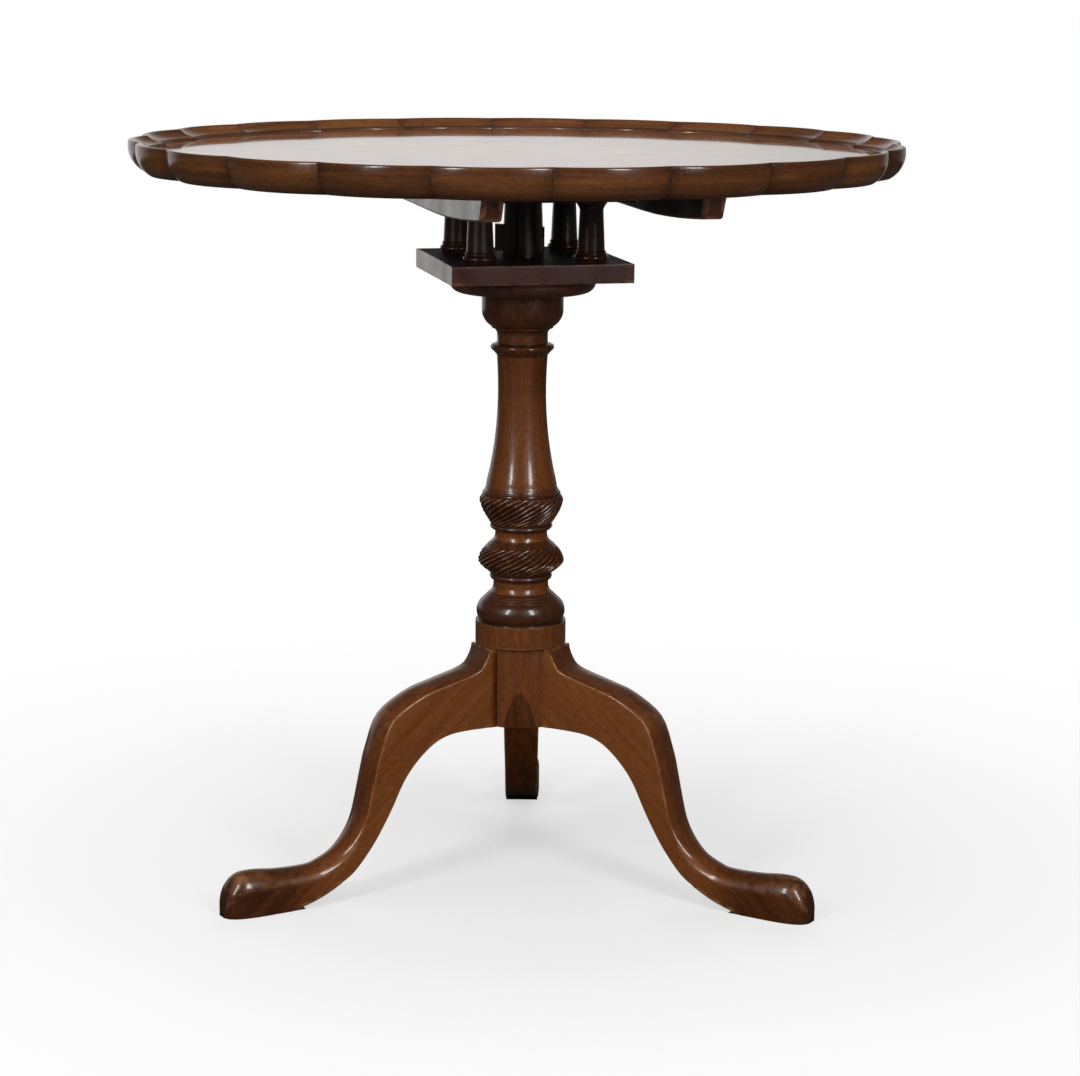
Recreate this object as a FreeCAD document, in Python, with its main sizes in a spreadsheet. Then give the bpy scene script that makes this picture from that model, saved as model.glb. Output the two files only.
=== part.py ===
import FreeCAD, Part
import math
import os

import Sketcher

# Tray top tea table: a scalloped tray that tilts on a turning cage, on a pillar with three cabriole legs.
# Millimetres. The origin is on the floor under the pillar's axis, +Z is up and X runs along the tilt pintles.

os.makedirs("parts", exist_ok=True)
doc = FreeCAD.newDocument("tea_table")

# Driving dimensions
SIZES = {
    # tray: board and scalloped rim
    "lobe_count": 22,
    "tray_radius": 368,
    "lobe_radius": 120,
    "tray_offset": -6,
    "board_thickness": 19,
    "rim_width": 23,
    "rim_rise": 9.8,
    "rim_widest_drop": 9,
    "rim_undercut": 12,
    "rim_crest_setback": 3.5,
    "rim_crest_width": 2.5,
    "rim_quirk": 1,
    "tongue_length": 6,
    "tongue_thickness": 6,
    "glue_gap": 0.05,
    # bearers under the tray
    "bearer_width": 20,
    "bearer_depth": 31,
    "bearer_length": 628,
    "bearer_end_depth": 20.5,
    "bearer_end_taper": 154,
    "bearer_end_rake": 12,
    "bearer_gap": 0.7,
    # cage
    "plate_side": 175,
    "plate_thickness": 18.2,
    "column_length": 58,
    "column_spacing": 107.4,
    "column_radius": 12.4,
    "column_neck_radius": 11.2,
    "column_base_radius": 15.4,
    "column_tenon_radius": 8,
    "column_tenon_length": 17,
    "block_thickness": 23.7,
    "pintle_radius": 9,
    "pintle_length": 14,
    "pintle_drop": 12,
    "block_front_gap": 0.3,
    "rest_gap": 0.5,
    "running_clearance": 0.08,
    "swivel_gap": 0.2,
    # bearing disc
    "disc_radius": 70.5,
    "disc_thickness": 15.5,
    "disc_edge": 9,
    # pillar: radii
    "drum_radius": 41,
    "collar_radius": 44.3,
    "bulb_radius": 43.2,
    "base_neck_radius": 26.9,
    "ring_radius": 30.6,
    "lower_knop_radius": 42,
    "mid_neck_radius": 25.4,
    "upper_knop_radius": 41,
    "vase_radius": 34.6,
    "waist_radius": 23.3,
    "shaft_top_radius": 24.6,
    "astragal_radius": 31.4,
    "capital_radius": 39.5,
    "spindle_radius": 20,
    "spindle_top_radius": 17.8,
    "journal_radius": 17.3,
    # pillar: heights of its mouldings, from the bottom
    "drum_bottom": 154.4,
    "drum_height": 78.6,
    "collar_height": 22.5,
    "bulb_height": 32,
    "base_neck_height": 8.5,
    "ring_height": 6.2,
    "lower_knop_height": 35.8,
    "mid_neck_height": 7.3,
    "upper_knop_height": 36,
    "vase_height": 129.5,
    "astragal_height": 11.4,
    "top_neck_height": 10,
    "flare_height": 17.1,
    "capital_height": 22.4,
    "gadroon_count": 28,
    "lower_gadroon_angle": 64,
    "upper_gadroon_angle": 76,
    "drum_facet_height": 35,
    "drum_facet_depth": 3.7,
    # wedge through the spindle
    "wedge_lift": 5,
    "wedge_height": 26,
    "wedge_taper": 3,
    "wedge_thickness": 7,
    "wedge_overhang": 7,
    # legs
    "leg_angle": 76.4,
    "leg_reach": 322.5,
    "leg_width": 38,
    "tenon_mouth": 15,
    "tenon_spread": 21,
    "tenon_depth": 13,
    "tenon_height": 66,
    "sole_thickness": 4.3,
    "heel_reach": 231,
    # iron strap under the drum
    "strap_reach": 66,
    "strap_width": 22,
    "strap_thickness": 2,
    "strap_gap": 0.2,
    # brass catch
    "case_length": 52,
    "case_width": 24,
    "case_depth": 16,
    "case_wall": 2,
    "case_gap": 2,
    "ear_length": 22,
    "ear_reach": 10,
    "ear_thickness": 2,
    "bolt_width": 12,
    "bolt_thickness": 5,
    "bolt_length": 36,
    "bolt_throw": 9,
    "bolt_engagement": 8,
    "bolt_clearance": 0.3,
    "knob_radius": 5.5,
    "knob_stem_radius": 2,
    "knob_stem_length": 6,
    "spring_radius": 2.2,
    "spring_wall": 0.7,
    "keeper_width": 40,
    "keeper_height": 18,
    "keeper_thickness": 2,
    # wood screws
    "screw_radius": 2.3,
    "screw_head_radius": 4.4,
    "screw_head_height": 2.4,
    "screw_bite": 12,
    "small_screw_radius": 1.5,
    "small_screw_head_radius": 2.8,
    "small_screw_head_height": 1.4,
    "small_screw_bite": 9,
}

sheet = doc.addObject("Spreadsheet::Sheet", "sizes")
for row, (alias, amount) in enumerate(SIZES.items(), start=1):
    sheet.set(f"A{row}", alias)
    sheet.set(f"B{row}", str(amount))
    sheet.setAlias(f"B{row}", alias)
doc.recompute()


class Size:
    """A number together with the spreadsheet formula that gives it."""

    def __init__(self, value, formula):
        self.value = value
        self.formula = formula

    def __add__(self, other):
        return Size(self.value + number(other), f"({self.formula} + {text(other)})")

    def __radd__(self, other):
        return Size(number(other) + self.value, f"({text(other)} + {self.formula})")

    def __sub__(self, other):
        return Size(self.value - number(other), f"({self.formula} - {text(other)})")

    def __rsub__(self, other):
        return Size(number(other) - self.value, f"({text(other)} - {self.formula})")

    def __mul__(self, other):
        return Size(self.value * number(other), f"({self.formula} * {text(other)})")

    __rmul__ = __mul__

    def __truediv__(self, other):
        return Size(self.value / number(other), f"({self.formula} / {text(other)})")

    def __rtruediv__(self, other):
        return Size(number(other) / self.value, f"({text(other)} / {self.formula})")

    def __neg__(self):
        return Size(-self.value, f"(-{self.formula})")


def number(amount):
    return amount.value if isinstance(amount, Size) else amount


def text(amount):
    return amount.formula if isinstance(amount, Size) else repr(amount)


def square_root(amount):
    return Size(math.sqrt(amount.value), f"sqrt({amount.formula})")


def sine(degrees):
    return Size(math.sin(math.radians(number(degrees))), f"sin({text(degrees)} * 1deg)")


def cosine(degrees):
    return Size(math.cos(math.radians(number(degrees))), f"cos({text(degrees)} * 1deg)")


def vector(x, y, z):
    return FreeCAD.Vector(number(x), number(y), number(z))


class Sizes:
    """The spreadsheet's cells by name."""

    def __getattr__(self, alias):
        return Size(SIZES[alias], f"sizes.{alias}")


s = Sizes()

# Heights, stacked from the floor
collar_bottom = s.drum_bottom + s.drum_height
bulb_bottom = collar_bottom + s.collar_height
base_neck_bottom = bulb_bottom + s.bulb_height
lower_ring_bottom = base_neck_bottom + s.base_neck_height
lower_knop_bottom = lower_ring_bottom + s.ring_height
mid_neck_bottom = lower_knop_bottom + s.lower_knop_height
upper_ring_bottom = mid_neck_bottom + s.mid_neck_height
upper_knop_bottom = upper_ring_bottom + s.ring_height
vase_bottom = upper_knop_bottom + s.upper_knop_height
astragal_bottom = vase_bottom + s.vase_height
top_neck_bottom = astragal_bottom + s.astragal_height
flare_bottom = top_neck_bottom + s.top_neck_height
capital_bottom = flare_bottom + s.flare_height
shoulder = capital_bottom + s.capital_height
plate_bottom = shoulder + s.disc_thickness + s.swivel_gap
plate_top = plate_bottom + s.plate_thickness
block_bottom = plate_top + s.column_length
block_top = block_bottom + s.block_thickness
underside = block_top + s.rest_gap
board_top = underside + s.board_thickness
crest = board_top + s.rim_rise
widest = crest - s.rim_widest_drop

# Places that several pieces share
half_plate = s.plate_side / 2
pintle_z = underside - s.pintle_drop
pintle_y = s.pintle_drop - s.block_front_gap - half_plate
lobe_centre = s.tray_radius - s.lobe_radius
half_lobe_angle = 180 / s.lobe_count
board_lobe_radius = s.lobe_radius - s.rim_width
tongue_bottom = underside + (s.board_thickness - s.tongue_thickness) / 2
tongue_top = tongue_bottom + s.tongue_thickness
bearer_inner = half_plate + s.bearer_gap
bearer_middle = bearer_inner + s.bearer_width / 2
half_bearer = s.bearer_length / 2
leg_seat = square_root(s.drum_radius * s.drum_radius - s.leg_width * s.leg_width / 4)
strap_top = s.drum_bottom - s.strap_gap
strap_bottom = strap_top - s.strap_thickness
wedge_bottom = plate_top + s.wedge_lift
lower_band_bottom = lower_knop_bottom + s.lower_knop_height * 0.065
lower_band_top = lower_knop_bottom + s.lower_knop_height * 0.763
upper_band_bottom = upper_knop_bottom + s.upper_knop_height * 0.04
upper_band_top = upper_knop_bottom + s.upper_knop_height * 0.805
leg_angles = [s.leg_angle, s.leg_angle + 120, s.leg_angle + 240]
column_place = s.column_spacing / 2
bearer_screw_places = [s.bearer_length * share for share in (-0.24, -0.05, 0.1, 0.24)]
leg_screw_places = [leg_seat - s.tenon_depth / 2, s.strap_reach - s.strap_width / 4]

# The catch lies behind the block, under the board
case_front = half_plate + s.case_gap
case_back = case_front + s.case_length
case_bottom = underside - s.case_depth
bolt_bottom = case_bottom + s.case_wall + s.bolt_clearance
bolt_top = bolt_bottom + s.bolt_thickness
bolt_nose = half_plate - s.bolt_engagement
bolt_tail = bolt_nose + s.bolt_length
knob_y = case_front + s.case_length * 0.3
ear_y = (case_front + case_back) / 2
ear_x = s.case_width / 2 + s.ear_reach / 2
keeper_screw_x = s.keeper_width / 2 - s.keeper_height / 4
keeper_bottom = block_top - s.keeper_height - s.rest_gap
keeper_middle = keeper_bottom + s.keeper_height / 2

pieces = []


def bind(item, prop, amount):
    """Set a property from the spreadsheet."""
    item.setExpression(prop, text(amount))


def new_body(label):
    body = doc.addObject("PartDesign::Body", label)
    body.Label = label
    pieces.append(body)
    return body


def place(piece, x=0.0, y=0.0, z=0.0, turn=0.0):
    """Turn a piece about Z and move it."""
    axis = FreeCAD.Vector(0, 0, 1)
    piece.Placement = FreeCAD.Placement(vector(x, y, z), FreeCAD.Rotation(axis, number(turn)))
    for prop, amount in (("x", x), ("y", y), ("z", z)):
        bind(piece, f"Placement.Base.{prop}", amount)


def new_sketch(body, plane, lift):
    """A sketch on one of the body's own origin planes, lifted off it."""
    support = next(item for item in body.Origin.OriginFeatures if item.Role == plane)
    sketch = body.newObject("Sketcher::SketchObject", "Sketch")
    sketch.AttachmentSupport = [(support, "")]
    sketch.MapMode = "FlatFace"
    sketch.AttachmentOffset = FreeCAD.Placement(vector(0, 0, lift), FreeCAD.Rotation())
    bind(sketch, "AttachmentOffset.Base.z", lift)
    return sketch


def arc_between(start, end, bend):
    """The arc from start to end. Its bend is the angle it turns, left positive, or a left turn's radius."""
    chord = end - start
    if isinstance(bend, Size):
        half_turn = math.asin(chord.Length / 2 / bend.value)
    else:
        half_turn = math.radians(abs(bend)) / 2
    radius = chord.Length / 2 / math.sin(half_turn)
    left = FreeCAD.Vector(-chord.y, chord.x, 0).normalize()
    side = 1 if isinstance(bend, Size) or bend > 0 else -1
    centre = start + chord * 0.5 + left * (side * radius * math.cos(half_turn))
    first, last = (start, end) if side > 0 else (end, start)
    angle_first = math.atan2(first.y - centre.y, first.x - centre.x)
    angle_last = math.atan2(last.y - centre.y, last.x - centre.x)
    circle = Part.Circle(centre, FreeCAD.Vector(0, 0, 1), radius)
    return Part.ArcOfCircle(circle, angle_first, angle_last), side, half_turn * 2


def add_outline(sketch, corners):
    """A closed run of lines and arcs. A corner is (x, y), or (x, y, bend) where an arc follows it."""
    points = [vector(corner[0], corner[1], 0) for corner in corners]
    first = sketch.GeometryCount
    edges, ends, rules = [], [], []
    for index, corner in enumerate(corners):
        start, end = points[index], points[(index + 1) % len(points)]
        if len(corner) == 2:
            edges.append(Part.LineSegment(start, end))
            ends.append((1, 2))
            continue
        edge, side, turn = arc_between(start, end, corner[2])
        edges.append(edge)
        ends.append((1, 2) if side > 0 else (2, 1))
        if isinstance(corner[2], Size):
            rules.append((Sketcher.Constraint("Radius", first + index, edge.Radius), corner[2]))
        else:
            rules.append((Sketcher.Constraint("Angle", first + index, turn), None))
    sketch.addGeometry(edges)
    joints = []
    for index, corner in enumerate(corners):
        after = (index + 1) % len(corners)
        meeting = (first + index, ends[index][1], first + after, ends[after][0])
        joints.append(Sketcher.Constraint("Coincident", *meeting))
        for kind, amount in (("DistanceX", corner[0]), ("DistanceY", corner[1])):
            rule = Sketcher.Constraint(kind, first + index, ends[index][0], number(amount))
            rules.append((rule, amount if isinstance(amount, Size) else None))
    sketch.addConstraint(joints)
    bind_rules(sketch, rules)


def add_circles(sketch, centres, radius):
    first = sketch.GeometryCount
    up = FreeCAD.Vector(0, 0, 1)
    sketch.addGeometry([Part.Circle(vector(x, y, 0), up, number(radius)) for x, y in centres])
    rules = []
    for index, (x, y) in enumerate(centres, start=first):
        rules.append((Sketcher.Constraint("Radius", index, number(radius)), radius))
        for kind, amount in (("DistanceX", x), ("DistanceY", y)):
            rule = Sketcher.Constraint(kind, index, 3, number(amount))
            rules.append((rule, amount if isinstance(amount, Size) else None))
    bind_rules(sketch, rules)


def bind_rules(sketch, rules):
    """Add dimensions to a sketch and bind those that follow the spreadsheet."""
    first = sketch.ConstraintCount
    sketch.addConstraint([rule for rule, amount in rules])
    for index, (rule, amount) in enumerate(rules, start=first):
        if amount is not None:
            bind(sketch, f"Constraints[{index}]", amount)


def outline(body, plane, corners, lift=0.0):
    sketch = new_sketch(body, plane, lift)
    add_outline(sketch, corners)
    return sketch


def circles(body, plane, centres, radius, lift=0.0):
    sketch = new_sketch(body, plane, lift)
    add_circles(sketch, centres, radius)
    return sketch


def extrude(body, kind, sketch, length, symmetric=False, backwards=False):
    """A Pad or Pocket of a sketch. A pocket runs against the sketch's normal unless it is backwards."""
    feature = body.newObject(f"PartDesign::{kind}", kind)
    feature.Profile = sketch
    feature.SideType = "Symmetric" if symmetric else "One side"
    feature.Reversed = backwards
    bind(feature, "Length", length)
    return feature


def revolve(body, sketch, angle=360.0):
    """The sketch turned about its own vertical axis, half the angle to each side."""
    feature = body.newObject("PartDesign::Revolution", "Revolution")
    feature.Profile = sketch
    feature.ReferenceAxis = (sketch, ["V_Axis"])
    feature.Midplane = angle < 360
    feature.Angle = angle
    return feature


def three_times(body, features):
    """Repeat features about the body's Z axis, once for each leg."""
    pattern = body.newObject("PartDesign::PolarPattern", "Legs")
    pattern.Originals = features
    pattern.Axis = (next(item for item in body.Origin.OriginFeatures if item.Role == "Z_Axis"), [""])
    pattern.Angle = 360
    pattern.Occurrences = 3
    body.Tip = pattern
    return pattern


def rectangle(low_x, low_y, high_x, high_y):
    return [(low_x, low_y), (high_x, low_y), (high_x, high_y), (low_x, high_y)]


def solid_piece(label, shape):
    """A piece whose shape comes straight from Part's own functions."""
    piece = doc.addObject("Part::Feature", label)
    piece.Label = label
    piece.Shape = shape
    pieces.append(piece)
    return piece


def screw(radius, head_radius, head_height, length):
    """A countersunk wood screw along +Z with its head's face on the XY plane."""
    head = Part.makeCone(number(head_radius), number(radius), number(head_height))
    shank = Part.makeCylinder(number(radius), number(length), vector(0, 0, 0))
    return head.fuse(shank).removeSplitter()


# Pillar and its disc

def ring(neck_radius, bottom, foot_radius):
    """A small thumb moulding that stands out over a neck."""
    top = bottom + s.ring_height * 0.78
    return [
        (neck_radius, bottom),
        (neck_radius + 1.3, bottom, 45),
        (s.ring_radius, bottom + s.ring_height * 0.58),
        (s.ring_radius - 0.4, top),
        (foot_radius, top),
    ]


def pillar_profile():
    bulb_foot = s.bulb_radius - 1.9
    bulb_shoulder = s.bulb_radius - 4.7
    knop_foot = s.ring_radius - 1
    corners = [
        (0.0, s.drum_bottom),
        (s.drum_radius, s.drum_bottom),
        (s.drum_radius, collar_bottom),
        (s.collar_radius, collar_bottom),
        (s.collar_radius, bulb_bottom),
        (bulb_foot, bulb_bottom),
        (bulb_foot, bulb_bottom + s.bulb_height * 0.07, 40),
        (s.bulb_radius, bulb_bottom + s.bulb_height * 0.3, 45),
        (bulb_shoulder, bulb_bottom + s.bulb_height * 0.63),
        (bulb_shoulder - 0.9, bulb_bottom + s.bulb_height * 0.63, 14),
        (s.base_neck_radius, base_neck_bottom),
    ]
    corners += ring(s.base_neck_radius, lower_ring_bottom, knop_foot)
    # inside the carved band only a core is turned: the gadroons stand round it
    corners += [
        (knop_foot, lower_knop_bottom),
        (s.lower_knop_radius * 0.735, lower_band_bottom),
        (s.lower_knop_radius * 0.76, lower_band_top),
        (s.lower_knop_radius * 0.795, lower_band_top, 8),
        (s.mid_neck_radius + 1.8, mid_neck_bottom - 2.4),
        (s.mid_neck_radius + 1, mid_neck_bottom - 2.4),
        (s.mid_neck_radius, mid_neck_bottom),
    ]
    corners += ring(s.mid_neck_radius, upper_ring_bottom, knop_foot)
    corners += [
        (knop_foot, upper_knop_bottom),
        (s.upper_knop_radius * 0.715, upper_band_bottom),
        (s.upper_knop_radius * 0.88, upper_band_top),
        (s.upper_knop_radius * 0.917, upper_band_top, 120),
        (s.upper_knop_radius * 0.9, upper_band_top + 3),
        (s.vase_radius, vase_bottom, 8),
        (s.vase_radius - 3, vase_bottom + s.vase_height * 0.12, -11.5),
        (s.waist_radius, vase_bottom + s.vase_height * 0.71, -4.5),
        (s.shaft_top_radius, astragal_bottom),
        (s.astragal_radius - 1.2, astragal_bottom + s.astragal_height * 0.52, 110),
        (s.astragal_radius - 2.6, astragal_bottom + s.astragal_height * 0.9),
        (s.shaft_top_radius, top_neck_bottom),
        (s.shaft_top_radius, flare_bottom, -15),
        (s.capital_radius - 5, flare_bottom + s.flare_height * 0.6, 35),
        (s.capital_radius, capital_bottom),
        (s.capital_radius, shoulder),
        (s.spindle_radius, shoulder),
        (s.spindle_radius, plate_top + s.swivel_gap),
        (s.spindle_top_radius, block_bottom - s.rest_gap),
        (s.journal_radius, block_bottom - s.rest_gap),
        (s.journal_radius, block_top - s.rest_gap),
        (0.0, block_top - s.rest_gap),
    ]
    return corners


# One row for each section of a carved band: its place up the band, the crest radius of the gadroons as a
# share of the knop's radius, and the share of the twist that it has taken.
LOWER_GADROONS = [
    (0.00, 0.769, 0.00),
    (0.19, 0.914, 0.19),
    (0.38, 1.000, 0.38),
    (0.54, 0.983, 0.54),
    (0.70, 0.948, 0.70),
    (0.86, 0.881, 0.86),
    (1.00, 0.802, 1.00),
]
UPPER_GADROONS = [
    (0.00, 0.752, 0.00),
    (0.15, 0.816, 0.22),
    (0.29, 0.874, 0.40),
    (0.47, 0.937, 0.58),
    (0.66, 0.978, 0.74),
    (0.82, 1.000, 0.87),
    (1.00, 0.930, 1.00),
]
GADROON_BEND = 72.0


def gadroon_arc(crest_radius, height, twist):
    """One gadroon's rounded outline at a height, from valley to valley."""
    half_angle = 180 / SIZES["gadroon_count"]
    half = math.radians(half_angle)
    dip = math.sin(half) * math.tan(math.radians(GADROON_BEND / 4))
    valley_radius = crest_radius / (math.cos(half) + dip)
    points = []
    for radius, angle in ((valley_radius, -half_angle), (crest_radius, 0), (valley_radius, half_angle)):
        turned = twist + angle
        points.append(vector(radius * cosine(turned), radius * sine(turned), height))
    return Part.Arc(*points).toShape()


def gadroon_band(label, rows, knop_radius, twist, bottom, top):
    """A band of spiral gadroons: one is lofted up the knop while it turns, and repeated round the knop."""
    arcs = []
    for place_share, radius_share, twist_share in rows:
        height = bottom + (top - bottom) * place_share
        arcs.append(gadroon_arc(number(knop_radius * radius_share), height, number(twist) * twist_share))
    flank = Part.makeLoft([Part.Wire([arc]) for arc in arcs])
    axis = FreeCAD.Vector(0, 0, 1)
    turns = [360 * index / SIZES["gadroon_count"] for index in range(SIZES["gadroon_count"])]
    faces = [flank.rotated(FreeCAD.Vector(), axis, turn).Faces[0] for turn in turns]
    for arc in (arcs[0], arcs[-1]):
        rim = Part.Wire([arc.rotated(FreeCAD.Vector(), axis, turn) for turn in turns])
        faces.append(Part.Face(rim))
    shell = Part.makeShell(faces)
    shell.sewShape()
    band = doc.addObject("Part::Feature", label)
    band.Shape = Part.makeSolid(shell)
    return band


def dovetail(gap):
    """The dovetail's outline at the leg seat, eased by a gap all round."""
    mouth = s.tenon_mouth / 2 + gap
    spread = s.tenon_spread / 2 + gap
    end = leg_seat - s.tenon_depth - gap
    return [(end, -spread), (leg_seat, -mouth), (leg_seat, mouth), (end, spread)]


def make_pillar():
    turning = doc.addObject("PartDesign::Body", "pillar_turning")
    revolve(turning, outline(turning, "XZ_Plane", pillar_profile()))
    half_facet = s.leg_width / 2 + s.glue_gap
    facet = rectangle(leg_seat, -half_facet, s.drum_radius + 1, half_facet)
    seat_sketch = outline(turning, "XY_Plane", facet, s.drum_bottom)
    seat = extrude(turning, "Pocket", seat_sketch, s.drum_height, backwards=True)
    socket_sketch = outline(turning, "XY_Plane", dovetail(s.glue_gap), s.drum_bottom)
    socket = extrude(turning, "Pocket", socket_sketch, s.tenon_height + s.glue_gap, backwards=True)
    # the flat that is pared off the drum between two legs, deepest at the bottom
    flat = [
        (s.drum_facet_depth - s.drum_radius, s.drum_bottom),
        (-s.drum_radius, s.drum_bottom + s.drum_facet_height),
        (-s.drum_radius - 1, s.drum_bottom + s.drum_facet_height),
        (-s.drum_radius - 1, s.drum_bottom),
    ]
    pared = extrude(turning, "Pocket", outline(turning, "XZ_Plane", flat), s.leg_width, symmetric=True)
    three_times(turning, [seat, socket, pared])
    half_slot = s.wedge_thickness / 2 + s.glue_gap
    slot_top = wedge_bottom + s.wedge_height + s.glue_gap
    slot = rectangle(-half_slot, wedge_bottom - s.glue_gap, half_slot, slot_top)
    extrude(turning, "Pocket", outline(turning, "XZ_Plane", slot), s.spindle_radius * 3, symmetric=True)
    hole = circles(turning, "XY_Plane", [(0.0, 0.0)], s.screw_radius + s.glue_gap, s.drum_bottom)
    extrude(turning, "Pocket", hole, s.screw_bite, backwards=True)
    place(turning, turn=s.leg_angle)
    lower = gadroon_band("lower_gadroons", LOWER_GADROONS, s.lower_knop_radius, s.lower_gadroon_angle,
                         lower_band_bottom, lower_band_top)
    upper = gadroon_band("upper_gadroons", UPPER_GADROONS, s.upper_knop_radius, s.upper_gadroon_angle,
                         upper_band_bottom, upper_band_top)
    pillar = doc.addObject("Part::MultiFuse", "pillar")
    pillar.Label = "pillar"
    pillar.Shapes = [turning, lower, upper]
    pieces.append(pillar)


def make_disc():
    disc = new_body("bearing_disc")
    bore = s.spindle_radius + s.glue_gap
    top = shoulder + s.disc_thickness
    profile = [
        (bore, shoulder),
        (s.disc_radius - s.disc_edge, shoulder, 75),
        (s.disc_radius, shoulder + s.disc_edge),
        (s.disc_radius, top),
        (bore, top),
    ]
    revolve(disc, outline(disc, "XZ_Plane", profile))


def make_wedge():
    wedge = new_body("cage_wedge")
    thin_end = -s.spindle_radius - 0.5
    thick_end = s.spindle_radius + s.wedge_overhang
    side = [
        (thin_end, wedge_bottom),
        (thick_end, wedge_bottom),
        (thick_end, wedge_bottom + s.wedge_height),
        (thin_end, wedge_bottom + s.wedge_height - s.wedge_taper),
    ]
    extrude(wedge, "Pad", outline(wedge, "YZ_Plane", side), s.wedge_thickness, symmetric=True)
    place(wedge, turn=s.leg_angle)


# Legs

# One row for each cross-section from the drum to the toe. The places of the underside and the top arris are
# shares of the way to the toe, and of their own height at the drum. Then come the width and the top's crown,
# as shares of the width at the drum.
LEG_SECTIONS = [
    (0.000, 1.000, 0.000, 0.998, 1.00, 0.008),
    (0.020, 1.000, 0.017, 0.945, 1.00, 0.026),
    (0.050, 1.000, 0.052, 0.905, 1.00, 0.053),
    (0.137, 0.993, 0.172, 0.864, 1.00, 0.079),
    (0.198, 0.963, 0.268, 0.829, 1.00, 0.079),
    (0.252, 0.898, 0.376, 0.746, 0.99, 0.079),
    (0.302, 0.806, 0.424, 0.612, 0.97, 0.079),
    (0.338, 0.712, 0.444, 0.524, 0.95, 0.079),
    (0.381, 0.557, 0.466, 0.408, 0.93, 0.084),
    (0.424, 0.421, 0.490, 0.318, 0.91, 0.095),
    (0.464, 0.314, 0.527, 0.243, 0.90, 0.110),
    (0.525, 0.188, 0.567, 0.190, 0.90, 0.145),
    (0.590, 0.113, 0.620, 0.150, 0.90, 0.197),
    (0.672, 0.045, 0.676, 0.122, 0.91, 0.263),
    (0.790, -0.010, 0.790, 0.103, 0.94, 0.390),
    (0.882, -0.015, 0.882, 0.105, 0.97, 0.450),
    (0.935, -0.015, 0.938, 0.103, 0.91, 0.420),
    (0.972, -0.015, 0.976, 0.077, 0.74, 0.342),
    (0.992, -0.015, 0.995, 0.050, 0.48, 0.210),
]


def leg_section(under_out, under_up, top_out, top_up, width_share, crown):
    """Cross-section of a leg: flat underside, straight sides and a crowned top."""
    root = s.collar_radius.value
    run = s.leg_reach.value - root
    under = FreeCAD.Vector(root + under_out * run, 0, under_up * s.drum_bottom.value)
    arris = FreeCAD.Vector(root + top_out * run, 0, top_up * (collar_bottom - s.glue_gap).value)
    ridge = arris + (arris - under).normalize() * (crown * s.leg_width.value)
    half = FreeCAD.Vector(0, s.leg_width.value * width_share / 2, 0)
    corners = [under - half, under + half, arris + half, arris - half]
    edges = [
        Part.LineSegment(corners[0], corners[1]).toShape(),
        Part.LineSegment(corners[1], corners[2]).toShape(),
        Part.Arc(corners[2], ridge, corners[3]).toShape(),
        Part.LineSegment(corners[3], corners[0]).toShape(),
    ]
    return Part.Wire(edges)


def sole():
    """The pad under the foot, stepped in a little at the heel."""
    ball = s.leg_reach * 0.9
    half_heel = s.leg_width * 0.44
    half_ball = s.leg_width * 0.48
    heel_left = vector(s.heel_reach, half_heel, 0)
    heel_right = vector(s.heel_reach, -half_heel, 0)
    ball_left = vector(ball, half_ball, 0)
    ball_right = vector(ball, -half_ball, 0)
    edges = [
        Part.LineSegment(heel_left, heel_right).toShape(),
        Part.LineSegment(heel_right, ball_right).toShape(),
        Part.Arc(ball_right, vector(s.leg_reach, 0, 0), ball_left).toShape(),
        Part.LineSegment(ball_left, heel_left).toShape(),
    ]
    return Part.Face(Part.Wire(edges)).extrude(vector(0, 0, s.sole_thickness))


def leg_shape():
    sections = [leg_section(*row) for row in LEG_SECTIONS]
    blade = Part.makeLoft(sections, True)
    root_length = s.collar_radius - leg_seat - s.glue_gap
    root = Part.Face(sections[0]).extrude(vector(-root_length, 0, 0))
    outline_points = [vector(x, y, s.drum_bottom) for x, y in dovetail(0.0)]
    outline_points[1] += vector(s.glue_gap, 0, 0)
    outline_points[2] += vector(s.glue_gap, 0, 0)
    tenon_face = Part.Face(Part.makePolygon(outline_points + outline_points[:1]))
    tenon = tenon_face.extrude(vector(0, 0, s.tenon_height))
    leg = blade.fuse([root, tenon, sole()])
    floor_size = s.leg_reach * 2
    below = Part.makeBox(number(floor_size), number(floor_size), 50, vector(0, -s.leg_reach, -50))
    leg = leg.cut(below)
    hole_radius = number(s.screw_radius + s.glue_gap)
    for x in leg_screw_places:
        start = vector(x, 0, s.drum_bottom - s.screw_bite)
        leg = leg.cut(Part.makeCylinder(hole_radius, number(s.screw_bite * 2), start))
    return leg.removeSplitter()


def make_legs():
    shape = leg_shape()
    for label, angle in zip(("leg_rear", "leg_left", "leg_right"), leg_angles):
        leg = solid_piece(label, shape)
        turn = FreeCAD.Rotation(FreeCAD.Vector(0, 0, 1), number(angle))
        leg.Placement = FreeCAD.Placement(vector(0, 0, 0), turn)


# Iron strap under the drum

def make_strap():
    strap = new_body("tripod_strap")
    half = s.strap_width / 2
    neck = s.strap_reach - half
    arm = [(0.0, -half), (neck, -half, 89), (s.strap_reach, 0.0, 89), (neck, half), (0.0, half)]
    pad = extrude(strap, "Pad", outline(strap, "XY_Plane", arm, strap_bottom), s.strap_thickness)
    three_times(strap, [pad])
    holes = [(0.0, 0.0)]
    for turn in (0, 120, 240):
        holes += [(x * cosine(turn), x * sine(turn)) for x in leg_screw_places]
    hole_sketch = circles(strap, "XY_Plane", holes, s.screw_radius + s.glue_gap, strap_bottom)
    extrude(strap, "Pocket", hole_sketch, s.strap_thickness, backwards=True)
    place(strap, turn=s.leg_angle)


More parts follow.
